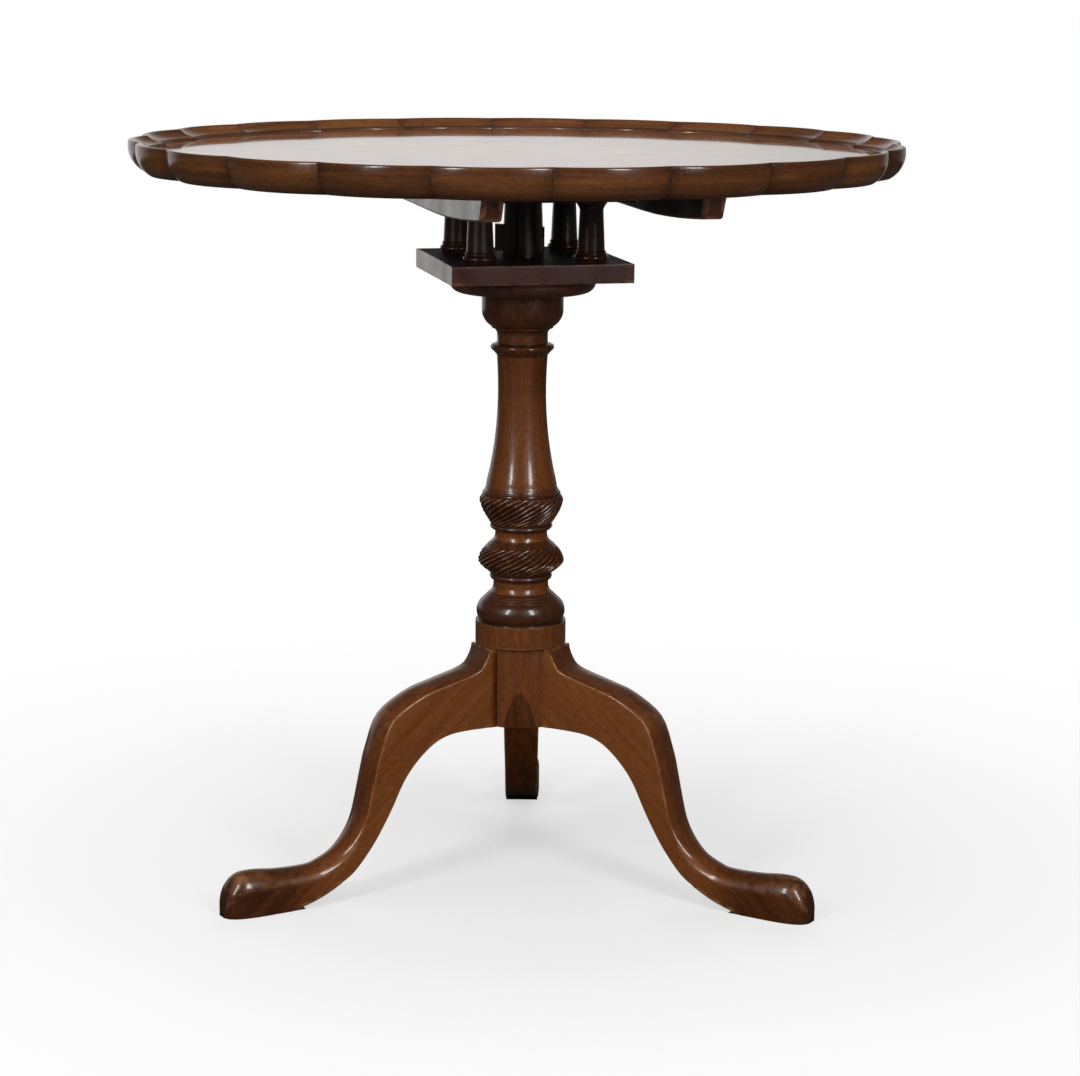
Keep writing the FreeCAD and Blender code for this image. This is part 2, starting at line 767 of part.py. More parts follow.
def make_strap_screws():
    """Round-headed screws through the strap into the drum and the legs."""
    length = s.strap_thickness + s.strap_gap + s.screw_bite - s.glue_gap
    head_bottom = vector(0, 0, -s.screw_head_height)
    head = Part.makeCylinder(number(s.screw_head_radius), number(s.screw_head_height), head_bottom)
    shank = Part.makeCylinder(number(s.screw_radius), number(length), vector(0, 0, 0))
    one = head.fuse(shank).removeSplitter()
    places = [vector(0, 0, strap_bottom)]
    for angle in leg_angles:
        places += [vector(x * cosine(angle), x * sine(angle), strap_bottom) for x in leg_screw_places]
    solid_piece("strap_screws", Part.makeCompound([one.translated(spot) for spot in places]))


# Cage

def corners_of_cage():
    return [(x * column_place, y * column_place) for x in (-1, 1) for y in (-1, 1)]


def make_plate():
    plate = new_body("cage_plate")
    square = rectangle(-half_plate, -half_plate, half_plate, half_plate)
    extrude(plate, "Pad", outline(plate, "XY_Plane", square, plate_bottom), s.plate_thickness)
    bore = circles(plate, "XY_Plane", [(0.0, 0.0)], s.spindle_radius + s.running_clearance, plate_bottom)
    extrude(plate, "Pocket", bore, s.plate_thickness, backwards=True)
    mortises = circles(plate, "XY_Plane", corners_of_cage(), s.column_tenon_radius + s.glue_gap, plate_bottom)
    extrude(plate, "Pocket", mortises, s.plate_thickness, backwards=True)


def make_columns():
    for index, (x, y) in enumerate(corners_of_cage(), start=1):
        column = new_body(f"cage_column_{index:02d}")
        base = s.column_base_radius
        height = s.column_length
        profile = [
            (0.0, -s.column_tenon_length),
            (s.column_tenon_radius, -s.column_tenon_length),
            (s.column_tenon_radius, 0.0),
            (base - 1, 0.0),
            (base - 1, height * 0.04, 150),
            (base - 1, height * 0.15),
            (s.column_radius + 0.9, height * 0.15),
            (s.column_radius + 0.9, height * 0.2, 120),
            (s.column_radius + 0.4, height * 0.25),
            (s.column_radius, height * 0.27),
            (s.column_neck_radius, height * 0.84, -25),
            (base, height * 0.96),
            (base, height),
            (s.column_tenon_radius, height),
            (s.column_tenon_radius, height + s.column_tenon_length),
            (0.0, height + s.column_tenon_length),
        ]
        revolve(column, outline(column, "XZ_Plane", profile))
        place(column, x, y, plate_top)


def make_block():
    block = new_body("cage_block")
    front_round = s.pintle_drop - s.rest_gap
    side = [
        (-half_plate, block_bottom),
        (half_plate, block_bottom),
        (half_plate, block_top),
        (front_round - half_plate, block_top, 90),
        (-half_plate, block_top - front_round),
    ]
    extrude(block, "Pad", outline(block, "YZ_Plane", side), s.plate_side, symmetric=True)
    pintles = circles(block, "YZ_Plane", [(pintle_y, pintle_z)], s.pintle_radius)
    extrude(block, "Pad", pintles, s.plate_side + (s.bearer_gap + s.pintle_length) * 2, symmetric=True)
    bore = circles(block, "XY_Plane", [(0.0, 0.0)], s.journal_radius + s.running_clearance, block_bottom)
    extrude(block, "Pocket", bore, s.block_thickness, backwards=True)
    mortises = circles(block, "XY_Plane", corners_of_cage(), s.column_tenon_radius + s.glue_gap, block_bottom)
    extrude(block, "Pocket", mortises, s.column_tenon_length + s.glue_gap, backwards=True)
    # the keeper's bed, and the hole behind it for the bolt
    half_keeper = s.keeper_width / 2 + s.glue_gap
    bed = rectangle(-half_keeper, keeper_bottom - s.glue_gap, half_keeper, block_top + 1)
    bed_sketch = outline(block, "XZ_Plane", bed, -half_plate)
    extrude(block, "Pocket", bed_sketch, s.keeper_thickness + s.glue_gap, backwards=True)
    hole_sketch = outline(block, "XZ_Plane", keeper_slot(), -half_plate)
    extrude(block, "Pocket", hole_sketch, s.bolt_engagement + 2, backwards=True)
    spots = [(-keeper_screw_x, keeper_middle), (keeper_screw_x, keeper_middle)]
    screw_holes = circles(block, "XZ_Plane", spots, s.small_screw_radius + s.glue_gap, -half_plate)
    extrude(block, "Pocket", screw_holes, s.keeper_thickness + s.small_screw_bite, backwards=True)


# Catch

def keeper_slot():
    """The slot that the bolt slides through."""
    half = s.bolt_width / 2 + s.bolt_clearance
    return rectangle(-half, bolt_bottom - s.bolt_clearance, half, bolt_top + s.bolt_clearance)


def make_keeper():
    keeper = new_body("catch_keeper")
    half = s.keeper_width / 2
    face = new_sketch(keeper, "XZ_Plane", -half_plate)
    add_outline(face, rectangle(-half, keeper_bottom, half, keeper_bottom + s.keeper_height))
    add_outline(face, keeper_slot())
    spots = [(-keeper_screw_x, keeper_middle), (keeper_screw_x, keeper_middle)]
    add_circles(face, spots, s.small_screw_radius + s.glue_gap)
    extrude(keeper, "Pad", face, s.keeper_thickness)


def turned_screw(x, y, z, axis):
    """A small round-headed screw that drives along an axis from a surface point."""
    length = s.small_screw_bite - s.glue_gap
    down = FreeCAD.Vector(0, 0, -1)
    head = Part.makeSphere(number(s.small_screw_head_radius), vector(0, 0, 0), down, 0, 90, 360)
    flatten = FreeCAD.Matrix()
    flatten.scale(1, 1, number(s.small_screw_head_height / s.small_screw_head_radius))
    head = head.transformGeometry(flatten)
    shank = Part.makeCylinder(number(s.small_screw_radius), number(length))
    one = head.fuse(shank).removeSplitter()
    turn = FreeCAD.Rotation(FreeCAD.Vector(0, 0, 1), axis)
    one.Placement = FreeCAD.Placement(vector(x, y, z), turn)
    return one


def make_case():
    case = new_body("catch_case")
    half = s.case_width / 2
    box = rectangle(-half, case_front, half, case_back)
    extrude(case, "Pad", outline(case, "XY_Plane", box, case_bottom), s.case_depth)
    ear_tip = half + s.ear_reach
    half_ear = s.ear_length / 2
    ears = rectangle(-ear_tip, ear_y - half_ear, ear_tip, ear_y + half_ear)
    extrude(case, "Pad", outline(case, "XY_Plane", ears, underside - s.ear_thickness), s.ear_thickness)
    half_bolt = s.bolt_width / 2 + s.bolt_clearance
    room = rectangle(-half_bolt, case_front + s.case_wall, half_bolt, case_back - s.case_wall)
    room_sketch = outline(case, "XY_Plane", room, case_bottom + s.case_wall)
    extrude(case, "Pocket", room_sketch, s.case_depth - s.case_wall, backwards=True)
    mouth = outline(case, "XZ_Plane", keeper_slot(), -case_front)
    extrude(case, "Pocket", mouth, s.case_wall)
    half_stem = s.knob_stem_radius + s.bolt_clearance
    stem_slot = rectangle(-half_stem, knob_y - half_stem, half_stem, knob_y + s.bolt_throw + half_stem)
    stem_sketch = outline(case, "XY_Plane", stem_slot, case_bottom)
    extrude(case, "Pocket", stem_sketch, s.case_wall, backwards=True)
    spots = [(-ear_x, ear_y), (ear_x, ear_y)]
    hole_radius = s.small_screw_radius + s.glue_gap
    holes = circles(case, "XY_Plane", spots, hole_radius, underside - s.ear_thickness)
    extrude(case, "Pocket", holes, s.ear_thickness, backwards=True)


def make_bolt():
    bolt = new_body("catch_bolt")
    side = [
        (bolt_nose, bolt_top),
        (bolt_nose, bolt_top - 1),
        (bolt_nose + s.bolt_thickness - 1, bolt_bottom),
        (bolt_tail, bolt_bottom),
        (bolt_tail, bolt_top),
    ]
    extrude(bolt, "Pad", outline(bolt, "YZ_Plane", side), s.bolt_width, symmetric=True)
    hole = circles(bolt, "XY_Plane", [(0.0, knob_y)], s.knob_stem_radius + s.glue_gap, bolt_bottom)
    extrude(bolt, "Pocket", hole, s.bolt_thickness, backwards=True)


def make_knob():
    knob = new_body("catch_knob")
    radius = s.knob_radius
    stem = s.knob_stem_radius
    neck = bolt_bottom - s.knob_stem_length
    profile = [
        (0.0, neck - radius * 1.6),
        (radius * 0.6, neck - radius * 1.6, 70),
        (radius, neck - radius * 0.8, 70),
        (radius * 0.6, neck, -40),
        (stem, neck + 1),
        (stem, bolt_top),
        (0.0, bolt_top),
    ]
    revolve(knob, outline(knob, "XZ_Plane", profile))
    place(knob, y=knob_y)


def make_spring():
    """The small compression spring between the bolt's tail and the case's back wall, as a closed tube."""
    spring = new_body("catch_spring")
    middle = (bolt_bottom + bolt_top) / 2
    tube = new_sketch(spring, "XZ_Plane", -bolt_tail - s.glue_gap)
    add_circles(tube, [(0.0, middle)], s.spring_radius)
    add_circles(tube, [(0.0, middle)], s.spring_radius - s.spring_wall)
    extrude(spring, "Pad", tube, case_back - s.case_wall - bolt_tail - s.glue_gap * 2, backwards=True)


def make_catch_screws():
    up = FreeCAD.Vector(0, 0, 1)
    forward = FreeCAD.Vector(0, -1, 0)
    ears = [turned_screw(x, ear_y, underside - s.ear_thickness, up) for x in (-ear_x, ear_x)]
    solid_piece("catch_screws", Part.makeCompound(ears))
    plate = [turned_screw(x, half_plate, keeper_middle, forward) for x in (-keeper_screw_x, keeper_screw_x)]
    solid_piece("keeper_screws", Part.makeCompound(plate))


# Tray

def scalloped(radius):
    """The tray's outline with every lobe drawn at one radius about its own centre."""
    half_chord = lobe_centre * sine(half_lobe_angle)
    reach = lobe_centre * cosine(half_lobe_angle) + square_root(radius * radius - half_chord * half_chord)
    corners = []
    for lobe in range(SIZES["lobe_count"]):
        angle = 2 * half_lobe_angle * lobe
        corners.append((reach * cosine(angle), reach * sine(angle), radius))
    return corners


def make_board():
    board = new_body("tray_board")
    edge = board_lobe_radius - s.glue_gap
    extrude(board, "Pad", outline(board, "XY_Plane", scalloped(edge), underside), s.board_thickness)
    tongue = outline(board, "XY_Plane", scalloped(edge + s.tongue_length), tongue_bottom)
    extrude(board, "Pad", tongue, s.tongue_thickness)
    spots = [(x - s.tray_offset, y) for x, y in bearer_screw_spots()]
    holes = circles(board, "XY_Plane", spots, s.screw_radius + s.glue_gap, underside)
    extrude(board, "Pocket", holes, s.screw_bite, backwards=True)
    ears = [(-ear_x - s.tray_offset, ear_y), (ear_x - s.tray_offset, ear_y)]
    small_holes = circles(board, "XY_Plane", ears, s.small_screw_radius + s.glue_gap, underside)
    extrude(board, "Pocket", small_holes, s.small_screw_bite, backwards=True)
    place(board, x=s.tray_offset)


def rim_profile():
    groove = board_lobe_radius + s.tongue_length
    return [
        (board_lobe_radius, underside),
        (s.lobe_radius - s.rim_undercut, underside, 48),
        (s.lobe_radius, widest, 45),
        (s.lobe_radius - s.rim_crest_setback, crest),
        (s.lobe_radius - s.rim_crest_setback - s.rim_crest_width, crest, -40),
        (board_lobe_radius, board_top + s.rim_quirk),
        (board_lobe_radius, tongue_top + s.glue_gap),
        (groove, tongue_top + s.glue_gap),
        (groove, tongue_bottom - s.glue_gap),
        (board_lobe_radius, tongue_bottom - s.glue_gap),
    ]


def make_rim():
    """One moulded segment for each lobe: turned about the lobe's own centre and mitred to its neighbours."""
    slope = sine(half_lobe_angle) / cosine(half_lobe_angle)
    near = s.lobe_radius * 0.5
    far = s.lobe_radius * 1.1
    wide = s.lobe_radius
    swing = 80.0
    for index in range(SIZES["lobe_count"]):
        segment = new_body(f"rim_segment_{index + 1:02d}")
        revolve(segment, outline(segment, "XZ_Plane", rim_profile()), swing)
        mitre = new_sketch(segment, "XY_Plane", 0.0)
        near_y = (near + lobe_centre) * slope - s.glue_gap
        far_y = (far + lobe_centre) * slope - s.glue_gap
        add_outline(mitre, [(near, near_y), (far, far_y), (far, wide), (near, wide)])
        add_outline(mitre, [(near, -near_y), (near, -wide), (far, -wide), (far, -far_y)])
        extrude(segment, "Pocket", mitre, crest + 1, backwards=True)
        angle = half_lobe_angle * (2 * index + 1)
        place(segment, s.tray_offset + lobe_centre * cosine(angle), lobe_centre * sine(angle), 0.0, angle)


def bearer_screw_spots():
    return [(x, y) for x in (-bearer_middle, bearer_middle) for y in bearer_screw_places]


def make_bearers():
    bottom = underside - s.bearer_depth
    end_bottom = underside - s.bearer_end_depth
    end = half_bearer - s.bearer_end_rake
    taper = half_bearer - s.bearer_end_taper
    for label, backwards in (("bearer_left", True), ("bearer_right", False)):
        bearer = new_body(label)
        sign = -1 if backwards else 1
        side = [
            (-half_bearer, underside),
            (-end, end_bottom, 8),
            (-taper, bottom),
            (taper, bottom, 8),
            (end, end_bottom),
            (half_bearer, underside),
        ]
        pad_sketch = outline(bearer, "YZ_Plane", side, bearer_inner * sign)
        extrude(bearer, "Pad", pad_sketch, s.bearer_width, backwards=backwards)
        socket_radius = s.pintle_radius + s.running_clearance
        socket = circles(bearer, "YZ_Plane", [(pintle_y, pintle_z)], socket_radius, bearer_inner * sign)
        extrude(bearer, "Pocket", socket, s.pintle_length + s.rest_gap, backwards=not backwards)
        spots = [(bearer_middle * sign, y) for y in bearer_screw_places]
        holes = circles(bearer, "XY_Plane", spots, s.screw_radius + s.glue_gap, bottom)
        extrude(bearer, "Pocket", holes, s.bearer_depth, backwards=True)
        sinks = circles(bearer, "XY_Plane", spots, s.screw_head_radius + s.glue_gap, bottom)
        extrude(bearer, "Pocket", sinks, s.screw_head_height, backwards=True)


def make_bearer_screws():
    bottom = underside - s.bearer_depth
    length = s.bearer_depth + s.screw_bite - s.glue_gap
    one = screw(s.screw_radius, s.screw_head_radius, s.screw_head_height, length)
    screws = [one.translated(vector(x, y, bottom)) for x, y in bearer_screw_spots()]
    solid_piece("bearer_screws", Part.makeCompound(screws))


make_pillar()
make_disc()
make_wedge()
make_legs()
make_strap()
make_strap_screws()
make_plate()
make_columns()
make_block()
make_keeper()
make_case()
make_bolt()
make_knob()
make_spring()
make_catch_screws()
make_board()
make_rim()
make_bearers()
make_bearer_screws()

doc.recompute()
for item in doc.Objects:
    if "Invalid" in item.State or "Error" in item.State:
        raise RuntimeError(f"{item.Label} did not build: {item.State}")
for piece in pieces:
    if piece.Shape.isNull() or not piece.Shape.isValid():
        raise RuntimeError(f"{piece.Label} has no valid shape")
for piece in pieces:
    piece.Shape.exportStep(f"parts/{piece.Label}.step")
    print(piece.Label, len(piece.Shape.Solids), "solids", round(piece.Shape.Volume / 1000, 1), "cm3")
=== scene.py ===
# %% [markdown]
# # A tray top tea table
# The table is a scalloped tray on two bearers, which tilts on a little cage of four columns. The cage
# turns on a pillar with two spiral-carved knops, and the pillar stands on three cabriole legs. The packed
# solids are loaded first, as a fixed frame in metres. Each step below then makes one kind of piece or one
# finish around them.

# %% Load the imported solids
import math

import bmesh
import bpy
from mathutils import Matrix, Vector


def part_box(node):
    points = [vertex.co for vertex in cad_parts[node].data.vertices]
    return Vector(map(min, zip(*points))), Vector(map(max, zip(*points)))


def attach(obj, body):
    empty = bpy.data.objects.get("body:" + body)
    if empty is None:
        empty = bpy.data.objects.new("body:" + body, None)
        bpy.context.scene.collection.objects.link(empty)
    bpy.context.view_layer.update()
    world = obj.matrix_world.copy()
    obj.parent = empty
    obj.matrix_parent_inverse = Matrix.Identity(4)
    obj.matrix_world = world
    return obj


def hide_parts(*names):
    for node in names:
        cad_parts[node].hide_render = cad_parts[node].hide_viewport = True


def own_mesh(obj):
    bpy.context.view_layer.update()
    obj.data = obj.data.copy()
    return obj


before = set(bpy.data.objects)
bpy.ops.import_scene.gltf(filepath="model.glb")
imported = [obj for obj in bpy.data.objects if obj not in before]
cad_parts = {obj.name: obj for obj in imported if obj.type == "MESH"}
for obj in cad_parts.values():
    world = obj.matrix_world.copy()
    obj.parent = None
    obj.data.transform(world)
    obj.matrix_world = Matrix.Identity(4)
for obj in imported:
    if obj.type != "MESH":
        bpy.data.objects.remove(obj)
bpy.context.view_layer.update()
MM = 0.001

# %% [markdown]
# ## Camera
# The photograph was taken from a little above the tray, with a long lens. The camera's place, its slight
# turn about its own axis and its focal length were found by matching the tray, the plate's corners and
# the feet. Directions are easier to think of as seen from there, so a helper turns "right, away, up" into
# the table's own axes.

# %% Set up the camera
VIEW_TURN = 0.2334
CAMERA_PLACE = (0.0185, -2.8494, 0.9036)
CAMERA_PITCH = -0.1966
CAMERA_ROLL = 0.0080
IMAGE_WIDTH = 1080
FOCAL_PIXELS = 2972.5
SENSOR_WIDTH = 36.0


def as_seen(right, away, up):
    """A point given as seen from the camera, in the table's frame."""
    return Matrix.Rotation(-VIEW_TURN, 3, "Z") @ Vector((right, away, up))


camera_data = bpy.data.cameras.new("camera")
camera_data.sensor_width = SENSOR_WIDTH
camera_data.lens = FOCAL_PIXELS * SENSOR_WIDTH / IMAGE_WIDTH
camera = bpy.data.objects.new("camera", camera_data)
bpy.context.scene.collection.objects.link(camera)
tilt_down = Matrix.Rotation(math.pi / 2 + CAMERA_PITCH, 4, "X")
facing = Matrix.Rotation(-VIEW_TURN, 4, "Z") @ tilt_down @ Matrix.Rotation(CAMERA_ROLL, 4, "Z")
camera.matrix_world = Matrix.Translation(as_seen(*CAMERA_PLACE)) @ facing
bpy.context.scene.camera = camera
print("lens:", round(camera_data.lens, 2), "mm")

# %% [markdown]
# ## Studio
# The photograph shows a white studio: a pale floor that fades to white, one broad soft light overhead and
# two tall soft boxes, one on each side of the camera, which give the pillar its pair of upright
# highlights. The room behind the table is bright, and it is what the tray mirrors. The room behind the
# camera is dark, so that the polish keeps its depth.

# %% Build the floor, the lights and the room
WHITE = (1.0, 1.0, 1.0)
WARM_WHITE = (1.0, 0.985, 0.965)
PAPER = (0.68, 0.68, 0.68)
FLOOR_SIZE = 7.0
FLOOR_DROP = 0.2 * MM
# How white the floor is under the table, and how far out it is all white
FLOOR_WHITE = 0.54
FLOOR_FADE = 1.15
# The floor's colour in the polish, and as it throws light back
FLOOR_MIRRORED = (0.04, 0.038, 0.035)
FLOOR_BOUNCE = (0.20, 0.195, 0.19)
BACKDROP_WAY = (-0.14, 1.0, 0.08)
BACKDROP_LIGHT = 0.67
ROOM_LIGHT = 0.05
# Where the backdrop fades out to its sides and at its top, and how it dims to the right
BACKDROP_SIDES = (0.55, 0.97)
BACKDROP_TOP = (0.45, 0.12)
BACKDROP_RIGHT = (0.0, 0.25, 1.0, 0.5)
LIGHTS_AIM = (0.0, 0.0, 0.5)


def feed(tree, socket, value):
    """Link a socket to an output, or set it to a value. A colour is given as three numbers."""
    if isinstance(value, bpy.types.NodeSocket):
        tree.links.new(value, socket)
    elif socket.type == "RGBA":
        socket.default_value = (*value, 1.0)
    else:
        socket.default_value = value


def add_node(tree, kind, settings=None, **inputs):
    """Add a node, set its properties, and set or link its inputs by name."""
    made = tree.nodes.new(kind)
    for name, value in (settings or {}).items():
        setattr(made, name, value)
    for name, value in inputs.items():
        feed(tree, made.inputs[name.replace("_", " ")], value)
    return made


def maths(tree, operation, first, second=0.0):
    """One step of arithmetic on two values."""
    made = add_node(tree, "ShaderNodeMath", {"operation": operation})
    feed(tree, made.inputs[0], first)
    feed(tree, made.inputs[1], second)
    return made.outputs[0]


def plus(tree, first, second):
    return maths(tree, "ADD", first, second)


def times(tree, first, second):
    return maths(tree, "MULTIPLY", first, second)


def ease(tree, value, low, high, start=0.0, end=1.0, way="SMOOTHSTEP"):
    """A step from start to end while a value goes from low to high."""
    made = add_node(tree, "ShaderNodeMapRange", {"interpolation_type": way}, Value=value,
                    From_Min=low, From_Max=high, To_Min=start, To_Max=end)
    return made.outputs["Result"]


def blend(tree, share, first, second):
    """Two colours mixed by a share."""
    made = add_node(tree, "ShaderNodeMix", {"data_type": "RGBA"})
    for index, value in ((0, share), (6, first), (7, second)):
        feed(tree, made.inputs[index], value)
    return made.outputs[2]


def mix_shaders(tree, share, first, second):
    """Two shaders mixed by a share."""
    made = add_node(tree, "ShaderNodeMixShader", Fac=share)
    tree.links.new(first.outputs[0], made.inputs[1])
    tree.links.new(second.outputs[0], made.inputs[2])
    return made


def empty_tree(owner):
    """The node tree of a material or of the world, with nothing in it."""
    owner.use_nodes = True
    owner.node_tree.nodes.clear()
    return owner.node_tree


def show(tree, shader, kind="Material"):
    """Give a material, or the world, its surface."""
    output = tree.nodes.new(f"ShaderNodeOutput{kind}")
    tree.links.new(shader.outputs[0], output.inputs["Surface"])


def object_place(tree):
    return add_node(tree, "ShaderNodeTexCoord").outputs["Object"]


def place_object(bm, name, material):
    """A new object in the scene, made of a finished bmesh."""
    mesh = bpy.data.meshes.new(name)
    bm.to_mesh(mesh)
    bm.free()
    mesh.materials.append(material)
    made = bpy.data.objects.new(name, mesh)
    bpy.context.scene.collection.objects.link(made)
    return made


def floor_finish():
    """Pale paper that fades to plain white further out. To the table's polish it is a darker floor."""
    material = bpy.data.materials.new("studio_floor")
    tree = empty_tree(material)
    distance = add_node(tree, "ShaderNodeVectorMath", {"operation": "LENGTH"}, Vector=object_place(tree))
    paper = add_node(tree, "ShaderNodeBsdfDiffuse", Color=PAPER)
    white = add_node(tree, "ShaderNodeEmission", Color=WHITE, Strength=1.0)
    path = add_node(tree, "ShaderNodeLightPath").outputs
    unseen = blend(tree, path["Is Diffuse Ray"], FLOOR_MIRRORED, FLOOR_BOUNCE)
    dim = add_node(tree, "ShaderNodeBsdfDiffuse", Color=unseen)
    faded = ease(tree, distance.outputs["Value"], 0.0, FLOOR_FADE, FLOOR_WHITE, 1.0)
    seen = mix_shaders(tree, faded, paper, white)
    show(tree, mix_shaders(tree, path["Is Camera Ray"], dim, seen))
    return material


def make_floor():
    bm = bmesh.new()
    bmesh.ops.create_grid(bm, x_segments=1, y_segments=1, size=FLOOR_SIZE / 2)
    bmesh.ops.translate(bm, verts=bm.verts, vec=(0, 0, -FLOOR_DROP))
    floor = place_object(bm, "studio_floor", floor_finish())


def soft_box(name, place, width, height, power, mirrored=True):
    """A rectangular light that faces the table. One that isn't mirrored gives light but no highlight."""
    data = bpy.data.lights.new(name, "AREA")
    data.shape = "RECTANGLE"
    data.size = width
    data.size_y = height
    data.energy = power
    lamp = bpy.data.objects.new(name, data)
    lamp.visible_glossy = mirrored
    bpy.context.scene.collection.objects.link(lamp)
    centre = as_seen(*place)
    turn = (as_seen(*LIGHTS_AIM) - centre).to_track_quat("-Z", "Y")
    lamp.matrix_world = Matrix.Translation(centre) @ turn.to_matrix().to_4x4()


def facing_share(tree, way, towards):
    """How nearly a direction points towards another, from minus one to one."""
    made = add_node(tree, "ShaderNodeVectorMath", {"operation": "DOT_PRODUCT"}, Vector=way)
    made.inputs[1].default_value = towards
    return made.outputs["Value"]


def make_room():
    """White to the camera's own eye. For light and reflections, a bright backdrop in a dim room."""
    world = bpy.data.worlds.new("studio")
    tree = empty_tree(world)
    way = add_node(tree, "ShaderNodeTexCoord").outputs["Generated"]
    ahead = facing_share(tree, way, as_seen(*BACKDROP_WAY).normalized())
    right = facing_share(tree, way, as_seen(1.0, 0.0, 0.0))
    up = facing_share(tree, way, as_seen(0.0, 0.0, 1.0))
    share = times(tree, ease(tree, ahead, *BACKDROP_SIDES), ease(tree, up, *BACKDROP_TOP))
    share = times(tree, share, ease(tree, right, *BACKDROP_RIGHT))
    bright = plus(tree, times(tree, share, BACKDROP_LIGHT), ROOM_LIGHT)
    lit = add_node(tree, "ShaderNodeBackground", Color=WARM_WHITE, Strength=bright)
    white = add_node(tree, "ShaderNodeBackground", Color=WHITE, Strength=1.0)
    eye = add_node(tree, "ShaderNodeLightPath").outputs["Is Camera Ray"]
    show(tree, mix_shaders(tree, eye, lit, white), "World")
    bpy.context.scene.world = world


make_floor()
make_room()
soft_box("overhead_box", (-0.3, -0.2, 2.7), 2.6, 2.2, 54, mirrored=False)
soft_box("left_box", (-1.55, -2.1, 1.75), 0.45, 1.8, 40)
soft_box("right_box", (1.4, -2.25, 1.75), 0.55, 1.8, 47)
soft_box("back_fill", (0.4, 2.4, 1.5), 2.2, 1.6, 34, mirrored=False)
bpy.context.scene.view_settings.view_transform = "Standard"

# %% [markdown]
# ## Effects that the finishes share
# Old polished mahogany has a broad figure, narrow streaks, short flecks where the grain is interlocked,
# and dark pores. Hands rub the polish thin on arrises, and wax and dirt stay in the hollows. The rubbed
# arrises also carry a painted highlight, and the hollows painted shade. Each is a node group, so that every
# wood uses the same one with its own colours. A piece carries two attributes for them: "grain", its own
# coordinates with Z along the grain, and "relief", which is positive where the surface stands out.

# %% Node groups for figure, rubbed arrises with a painted highlight, dirt with painted shade, and polish
# Worn polish, which also stands in as a painted highlight on arrises
WORN_WOOD_AND_HIGHLIGHT = (0.34, 0.15, 0.06)
# The colour of dirt in hollows, which also stands in as painted shade there
SHADE_AND_DIRT = (0.010, 0.005, 0.004)


def new_group(name, inputs, outputs):
    """A shader node group with named sockets, with the places to read from and to link to."""
    tree = bpy.data.node_groups.new(name, "ShaderNodeTree")
    for label, kind in inputs.items():
        tree.interface.new_socket(label, in_out="INPUT", socket_type=f"NodeSocket{kind}")
    for label, kind in outputs.items():
        tree.interface.new_socket(label, in_out="OUTPUT", socket_type=f"NodeSocket{kind}")
    return tree, tree.nodes.new("NodeGroupInput").outputs, tree.nodes.new("NodeGroupOutput").inputs


def stretched_noise(tree, place, scale, along, detail=3.0, distortion=0.0):
    """Noise drawn out along Z."""
    drawn = add_node(tree, "ShaderNodeVectorMath", {"operation": "MULTIPLY"}, Vector=place)
    drawn.inputs[1].default_value = (1.0, 1.0, along)
    noise = add_node(tree, "ShaderNodeTexNoise", Vector=drawn.outputs[0], Scale=scale, Detail=detail,
                     Roughness=0.55, Distortion=distortion)
    return noise.outputs["Fac"]


def attribute(tree, name, output="Fac"):
    """A value that a piece carries."""
    return add_node(tree, "ShaderNodeAttribute", {"attribute_name": name}).outputs[output]


def patches(tree, scale, detail):
    """Noise in the piece's own coordinates."""
    noise = add_node(tree, "ShaderNodeTexNoise", Vector=object_place(tree), Scale=scale, Detail=detail)
    return noise.outputs["Fac"]


def figure_group():
    """Mahogany's figure along Z: its tone from dark to light, and its pores."""
    tree, given, result = new_group("mahogany_figure", {"Grain": "Vector", "Fleck": "Float"},
                                    {"Tone": "Float", "Pores": "Float"})
    place = given["Grain"]
    broad = stretched_noise(tree, place, 16.0, 0.15, 2.0, 0.5)
    streak = stretched_noise(tree, place, 170.0, 0.05, 4.0, 0.6)
    fleck = stretched_noise(tree, place, 640.0, 0.28, 2.0, 0.3)
    pores = stretched_noise(tree, place, 2200.0, 0.06, 1.0)
    tone = plus(tree, plus(tree, times(tree, broad, 0.3), times(tree, streak, 0.42)), 0.14)
    flecked = times(tree, maths(tree, "SUBTRACT", fleck, 0.5), given["Fleck"])
    tree.links.new(plus(tree, tone, flecked), result["Tone"])
    tree.links.new(ease(tree, pores, 0.57, 0.70), result["Pores"])
    return tree


def age_and_shade_group():
    """Worn polish and a painted highlight where a piece stands out; dirt and painted shade where it lies in.
    """
    tree, given, result = new_group("age_and_shade", {"Color": "Color", "Wear": "Float", "Dirt": "Float"},
                                    {"Color": "Color", "Hollow": "Float"})
    relief = attribute(tree, "relief")
    out = times(tree, ease(tree, relief, 0.04, 0.24), ease(tree, patches(tree, 120.0, 3.0), 0.3, 0.7))
    hollow = ease(tree, relief, -0.02, -0.3)
    # Lighter where the piece stands out: worn polish, and a painted highlight as well
    worn_and_lit = blend(tree, times(tree, out, given["Wear"]), given["Color"], WORN_WOOD_AND_HIGHLIGHT)
    # Darker where the piece lies in: dirt, and painted shade as well
    dirty_and_shaded = blend(tree, times(tree, hollow, given["Dirt"]), worn_and_lit, SHADE_AND_DIRT)
    tree.links.new(dirty_and_shaded, result["Color"])
    tree.links.new(hollow, result["Hollow"])
    return tree


def polish_group():
    """Uneven gloss: rubbed patches and faint smears."""
    tree, given, result = new_group("polish", {"Least": "Float", "Most": "Float"}, {"Roughness": "Float"})
    smears = patches(tree, 22.0, 5.0)
    rough = ease(tree, smears, 0.35, 0.7, given["Least"], given["Most"], "LINEAR")
    tree.links.new(rough, result["Roughness"])
    return tree


FIGURE = figure_group()
AGE_AND_SHADE = age_and_shade_group()
POLISH = polish_group()
print("groups:", [group.name for group in (FIGURE, AGE_AND_SHADE, POLISH)])

